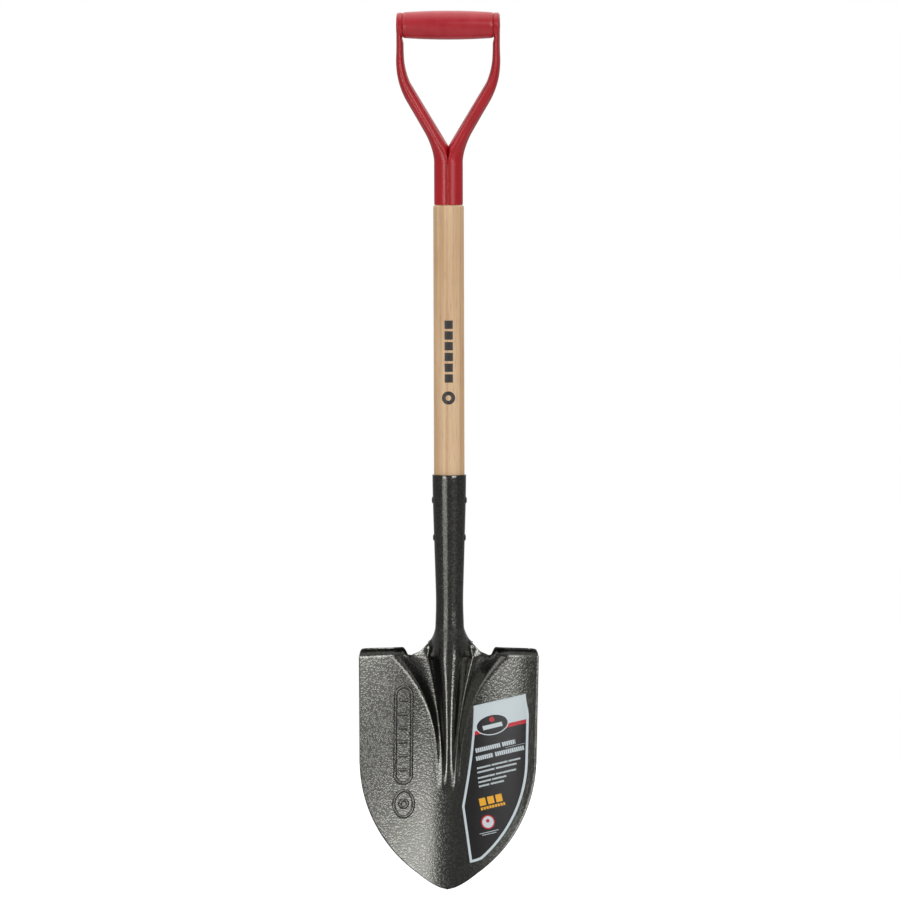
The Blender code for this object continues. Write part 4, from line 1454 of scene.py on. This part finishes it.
def rivet_tree():
    """Geometry nodes for a rivet along X with a domed head at each end. The dome is a unit ball
    whose lower part is pressed flat just under its middle."""
    names = ("Seat", "Height", "Shank Radius", "Head Radius", "Head Height")
    tree, given = new_shape("through_rivet", {**dict.fromkeys(names, "Float"), "Paint": "Material"})
    seat, height, head = given["Seat"], given["Height"], given["Head Radius"]
    depth = add_node(tree, "ShaderNodeMath", {0: seat, 1: 2.0}, operation="MULTIPLY")
    shank = add_node(
        tree,
        "GeometryNodeMeshCylinder",
        {"Vertices": 32, "Radius": given["Shank Radius"], "Depth": depth},
    )
    level = add_node(tree, "ShaderNodeCombineXYZ", {2: height})
    turn = (0.0, math.radians(90), 0.0)
    parts = [
        add_node(
            tree,
            "GeometryNodeTransform",
            {"Geometry": shank, "Translation": level, "Rotation": turn},
        )
    ]
    ball = add_node(tree, "GeometryNodeMeshUVSphere", {"Segments": 40, "Rings": 20, "Radius": 1.0})
    place = add_node(tree, "GeometryNodeInputPosition")
    across, deep, up = add_node(tree, "ShaderNodeSeparateXYZ", {0: place}).outputs
    lower = add_node(
        tree, "FunctionNodeCompare", {0: up, 1: -0.02}, operation="LESS_THAN", data_type="FLOAT"
    )
    pressed = add_node(tree, "ShaderNodeCombineXYZ", {0: across, 1: deep, 2: -0.18})
    dome = add_node(
        tree,
        "GeometryNodeSetPosition",
        {"Geometry": ball, "Selection": lower, "Position": pressed},
    )
    size = add_node(tree, "ShaderNodeCombineXYZ", {0: head, 1: head, 2: given["Head Height"]})
    for side in (1.0, -1.0):
        shift = add_node(tree, "ShaderNodeMath", {0: seat, 1: side}, operation="MULTIPLY")
        spot = add_node(tree, "ShaderNodeCombineXYZ", {0: shift, 2: height})
        turn = (0.0, math.radians(90) * side, 0.0)
        inputs = {"Geometry": dome, "Translation": spot, "Rotation": turn, "Scale": size}
        parts.append(add_node(tree, "GeometryNodeTransform", inputs))
    joined = add_node(tree, "GeometryNodeJoinGeometry")
    for part in parts:
        tree.links.new(part.outputs[0], joined.inputs[0])
    return close_shape(tree, joined, given["Paint"])


# ---------------------------------------------------------------- crossbar and rod


class SHOVEL_OT_grip(bpy.types.Operator):
    """Make the barrel-shaped crossbar and the rod that holds it"""

    bl_idname = "shovel.grip"
    bl_label = "Crossbar"

    def execute(self, context):
        grip = sizes().grip
        bar = grow(
            "barrel_grip",
            barrel_tree(),
            {
                "Half Length": grip.half_length,
                "Middle Radius": grip.radius,
                "End Radius": grip.end_radius,
                "Height": grip.height - hang_height(),
                "Sides": grip.sides,
                "Paint": painted_hardwood(),
            },
        )
        keep(bar, "grip_paint", "grip")
        self.make_rod(grip)
        return {"FINISHED"}

    def make_rod(self, grip):
        """Long rivet with a low domed head in each ear."""
        build = bmesh.new()
        seat = grip.ear_outside - 1.2 * MM + GAP
        half = [(grip.rod, seat), (grip.rod_head, seat), (grip.rod_head, grip.rod_end - 0.9 * MM)]
        for step in range(1, 6):
            angle = math.radians(90 * step / 6)
            half.append(
                (grip.rod_head * math.cos(angle), grip.rod_end - 0.9 * MM * (1 - math.sin(angle)))
            )
        profile = [(radius, -place) for radius, place in reversed(half)] + half
        turned(build, profile, 48, "X", grip.height)
        paint = enamel("red_painted_rivet", sizes().colours.enamel, **RIVET_FILM)
        rod = mesh_piece("grip_rod_riveted", build, [paint])
        keep(rod, "grip_rod_steel", "grip_rod")


# ---------------------------------------------------------------- rivets


class SHOVEL_OT_rivets(bpy.types.Operator):
    """Make the two socket rivets and the ferrule's rivet"""

    bl_idname = "shovel.rivets"
    bl_label = "Rivets"

    def execute(self, context):
        shovel = sizes()
        socket = shovel.socket
        tree = rivet_tree()
        steel = rivet_steel()
        for name, height in (
            ("socket_rivet_upper", socket.upper_rivet),
            ("socket_rivet_lower", socket.lower_rivet),
        ):
            seat = soft_stations(SOCKET_OUTSIDE, height + socket.head) / 2 + 0.5 * GAP
            piece = grow(
                f"{name}_formed",
                tree,
                {
                    "Seat": seat,
                    "Height": height - hang_height(),
                    "Shank Radius": socket.shank,
                    "Head Radius": socket.head,
                    "Head Height": socket.head_height,
                    "Paint": steel,
                },
            )
            keep(piece, "rivet_steel", name)
        yoke = shovel.yoke
        paint = enamel("red_painted_ferrule_rivet", shovel.colours.enamel, **RIVET_FILM)
        flush = grow(
            "yoke_rivet_formed",
            tree,
            {
                "Seat": yoke.radius - 0.6 * MM,
                "Height": yoke.rivet - hang_height(),
                "Shank Radius": 0.8 * yoke.rivet_radius,
                "Head Radius": yoke.rivet_radius,
                "Head Height": 0.5 * MM,
                "Paint": paint,
            },
        )
        keep(flush, "red_rivet", "yoke_rivet")
        return {"FINISHED"}


# ---------------------------------------------------------------- stage


WHITE = (1.0, 1.0, 1.0, 1.0)
FLOOR_HALF_SIZE = 2.2
BLADE_MIDDLE = Vector((0, 0, -0.85))

# Name, (sideways, up) place, (sideways, up) span, distance and radiance of each softbox.
SOFTBOXES = (
    ("left_low_softbox", (-30, -6), (34, 24), 2.6, 1.6),
    ("left_high_softbox", (-30.5, 12.8), (18, 11.5), 2.6, 6.6),
    ("left_top_softbox", (-66, 42), (34, 22), 2.6, 1.2),
    ("right_low_softbox", (36, 11.2), (28, 9.5), 6.0, 7.0),
    ("right_high_softbox", (26, 28.5), (38, 6.5), 6.0, 6.6),
)

# Camera: distance, width of the view at the shovel, (sideways, up) place, aim and roll.
CAMERA_DISTANCE = 24.0
VIEW_WIDTH = 1116 * MM
CAMERA_PLACE = (2.8, 3.0)
CAMERA_AIM = (1.0 * MM, 543.5 * MM)
CAMERA_ROLL = math.radians(-0.15)


def direction(azimuth, elevation):
    """Unit vector; azimuth 0 is straight ahead of the digging face, positive to the right."""
    azimuth, elevation = math.radians(azimuth), math.radians(elevation)
    return Vector(
        (
            math.sin(azimuth) * math.cos(elevation),
            -math.cos(azimuth) * math.cos(elevation),
            math.sin(elevation),
        )
    )


def softbox(name, place, span, distance, radiance):
    """Rectangular softbox seen from the blade; place and span are (sideways, up) degrees."""
    light = bpy.data.lights.new(name, "AREA")
    light.shape = "RECTANGLE"
    light.size = 2 * distance * math.tan(math.radians(span[0] / 2))
    light.size_y = 2 * distance * math.tan(math.radians(span[1] / 2))
    light.energy = radiance * math.pi * light.size * light.size_y
    holder = bpy.data.objects.new(name, light)
    way = direction(*place)
    holder.location = BLADE_MIDDLE + way * distance
    holder.rotation_euler = way.to_track_quat("Z", "Y").to_euler()
    bpy.context.scene.collection.objects.link(holder)


class SHOVEL_OT_stage(bpy.types.Operator):
    """Make the pale floor, the soft studio light and the camera"""

    bl_idname = "shovel.stage"
    bl_label = "Stage"

    def execute(self, context):
        scene = context.scene
        scene.view_settings.view_transform = "Standard"
        self.make_floor()
        self.make_light(scene)
        self.make_camera(scene)
        return {"FINISHED"}

    def make_floor(self):
        build = bmesh.new()
        bmesh.ops.create_grid(build, x_segments=1, y_segments=1, size=FLOOR_HALF_SIZE)
        bmesh.ops.translate(build, verts=build.verts, vec=(0, 0, CAD_BOX[0][2] - 0.4 * MM))
        material, tree = new_finish("pale_studio_floor")
        seen = add_node(tree, "ShaderNodeLightPath").outputs["Is Camera Ray"]
        lit = add_node(tree, "ShaderNodeMapRange", {"Value": seen, "To Min": 0.22, "To Max": 0.95})
        shader = add_node(
            tree,
            "ShaderNodeBsdfPrincipled",
            {
                "Base Color": rgba(sizes().colours.floor),
                "Roughness": 0.9,
                "Specular IOR Level": 0.1,
                "Emission Color": WHITE,
                "Emission Strength": lit,
            },
        )
        add_node(tree, "ShaderNodeOutputMaterial", {"Surface": shader})
        floor = mesh_piece("studio_floor", build, [material], down=False)

    def make_light(self, scene):
        """White ground behind, dim surroundings in front, and softboxes at both sides."""
        world = bpy.data.worlds.new("white_surround")
        scene.world = world
        world.use_nodes = True
        tree = world.node_tree
        tree.nodes.clear()
        way = add_node(tree, "ShaderNodeTexCoord").outputs["Generated"]
        over = add_node(
            tree, "ShaderNodeVectorMath", {0: way, 1: (0.0, 0.4, 0.92)}, operation="DOT_PRODUCT"
        )
        glow = add_node(
            tree,
            "ShaderNodeMapRange",
            {"Value": over.outputs["Value"], "From Min": 0.2, "To Min": 0.25, "To Max": 1.9},
            interpolation_type="SMOOTHSTEP",
        )
        seen = add_node(tree, "ShaderNodeLightPath").outputs["Is Camera Ray"]
        strength = add_node(tree, "ShaderNodeMath", {0: glow, 1: seen}, operation="MAXIMUM")
        surround = add_node(tree, "ShaderNodeBackground", {"Color": WHITE, "Strength": strength})
        add_node(tree, "ShaderNodeOutputWorld", {"Surface": surround})
        for box in SOFTBOXES:
            softbox(*box)

    def make_camera(self, scene):
        """Long lens, a little above the middle of the handle and a little to the right."""
        camera = bpy.data.cameras.new("camera")
        camera.sensor_width = 36
        camera.lens = camera.sensor_width * CAMERA_DISTANCE / VIEW_WIDTH
        camera.clip_end = 60
        holder = bpy.data.objects.new("camera", camera)
        middle = Vector((CAMERA_AIM[0], 0, CAMERA_AIM[1] - hang_height()))
        way = direction(*CAMERA_PLACE)
        roll = Matrix.Rotation(CAMERA_ROLL, 3, "Z")
        holder.location = middle + way * CAMERA_DISTANCE
        holder.rotation_euler = (way.to_track_quat("Z", "Y").to_matrix() @ roll).to_euler()
        scene.collection.objects.link(holder)
        scene.camera = holder


# ---------------------------------------------------------------- panel and registration


OPERATORS = (
    SHOVEL_OT_blade,
    SHOVEL_OT_mark,
    SHOVEL_OT_label,
    SHOVEL_OT_shaft,
    SHOVEL_OT_yoke,
    SHOVEL_OT_grip,
    SHOVEL_OT_rivets,
    SHOVEL_OT_stage,
)


class SHOVEL_PT_panel(bpy.types.Panel):
    """Lists the pieces of the shovel"""

    bl_idname = "SHOVEL_PT_panel"
    bl_label = "Shovel"
    bl_space_type = "VIEW_3D"
    bl_region_type = "UI"
    bl_category = "Shovel"

    def draw(self, context):
        for operator in OPERATORS:
            self.layout.operator(operator.bl_idname)


CLASSES = (
    BladeSizes,
    FrogSizes,
    StepSizes,
    SocketSizes,
    ShaftSizes,
    YokeSizes,
    GripSizes,
    LabelSizes,
    FinishColours,
    ShovelSizes,
    *OPERATORS,
    SHOVEL_PT_panel,
)


def register():
    for item in CLASSES:
        bpy.utils.register_class(item)
    bpy.types.Scene.shovel = PointerProperty(type=ShovelSizes)


def unregister():
    del bpy.types.Scene.shovel
    for item in reversed(CLASSES):
        bpy.utils.unregister_class(item)


def main():
    register()
    bpy.ops.shovel.blade()
    bpy.ops.shovel.mark()
    bpy.ops.shovel.label()
    bpy.ops.shovel.shaft()
    bpy.ops.shovel.yoke()
    bpy.ops.shovel.grip()
    bpy.ops.shovel.rivets()
    bpy.ops.shovel.stage()


if __name__ == "__main__":
    main()
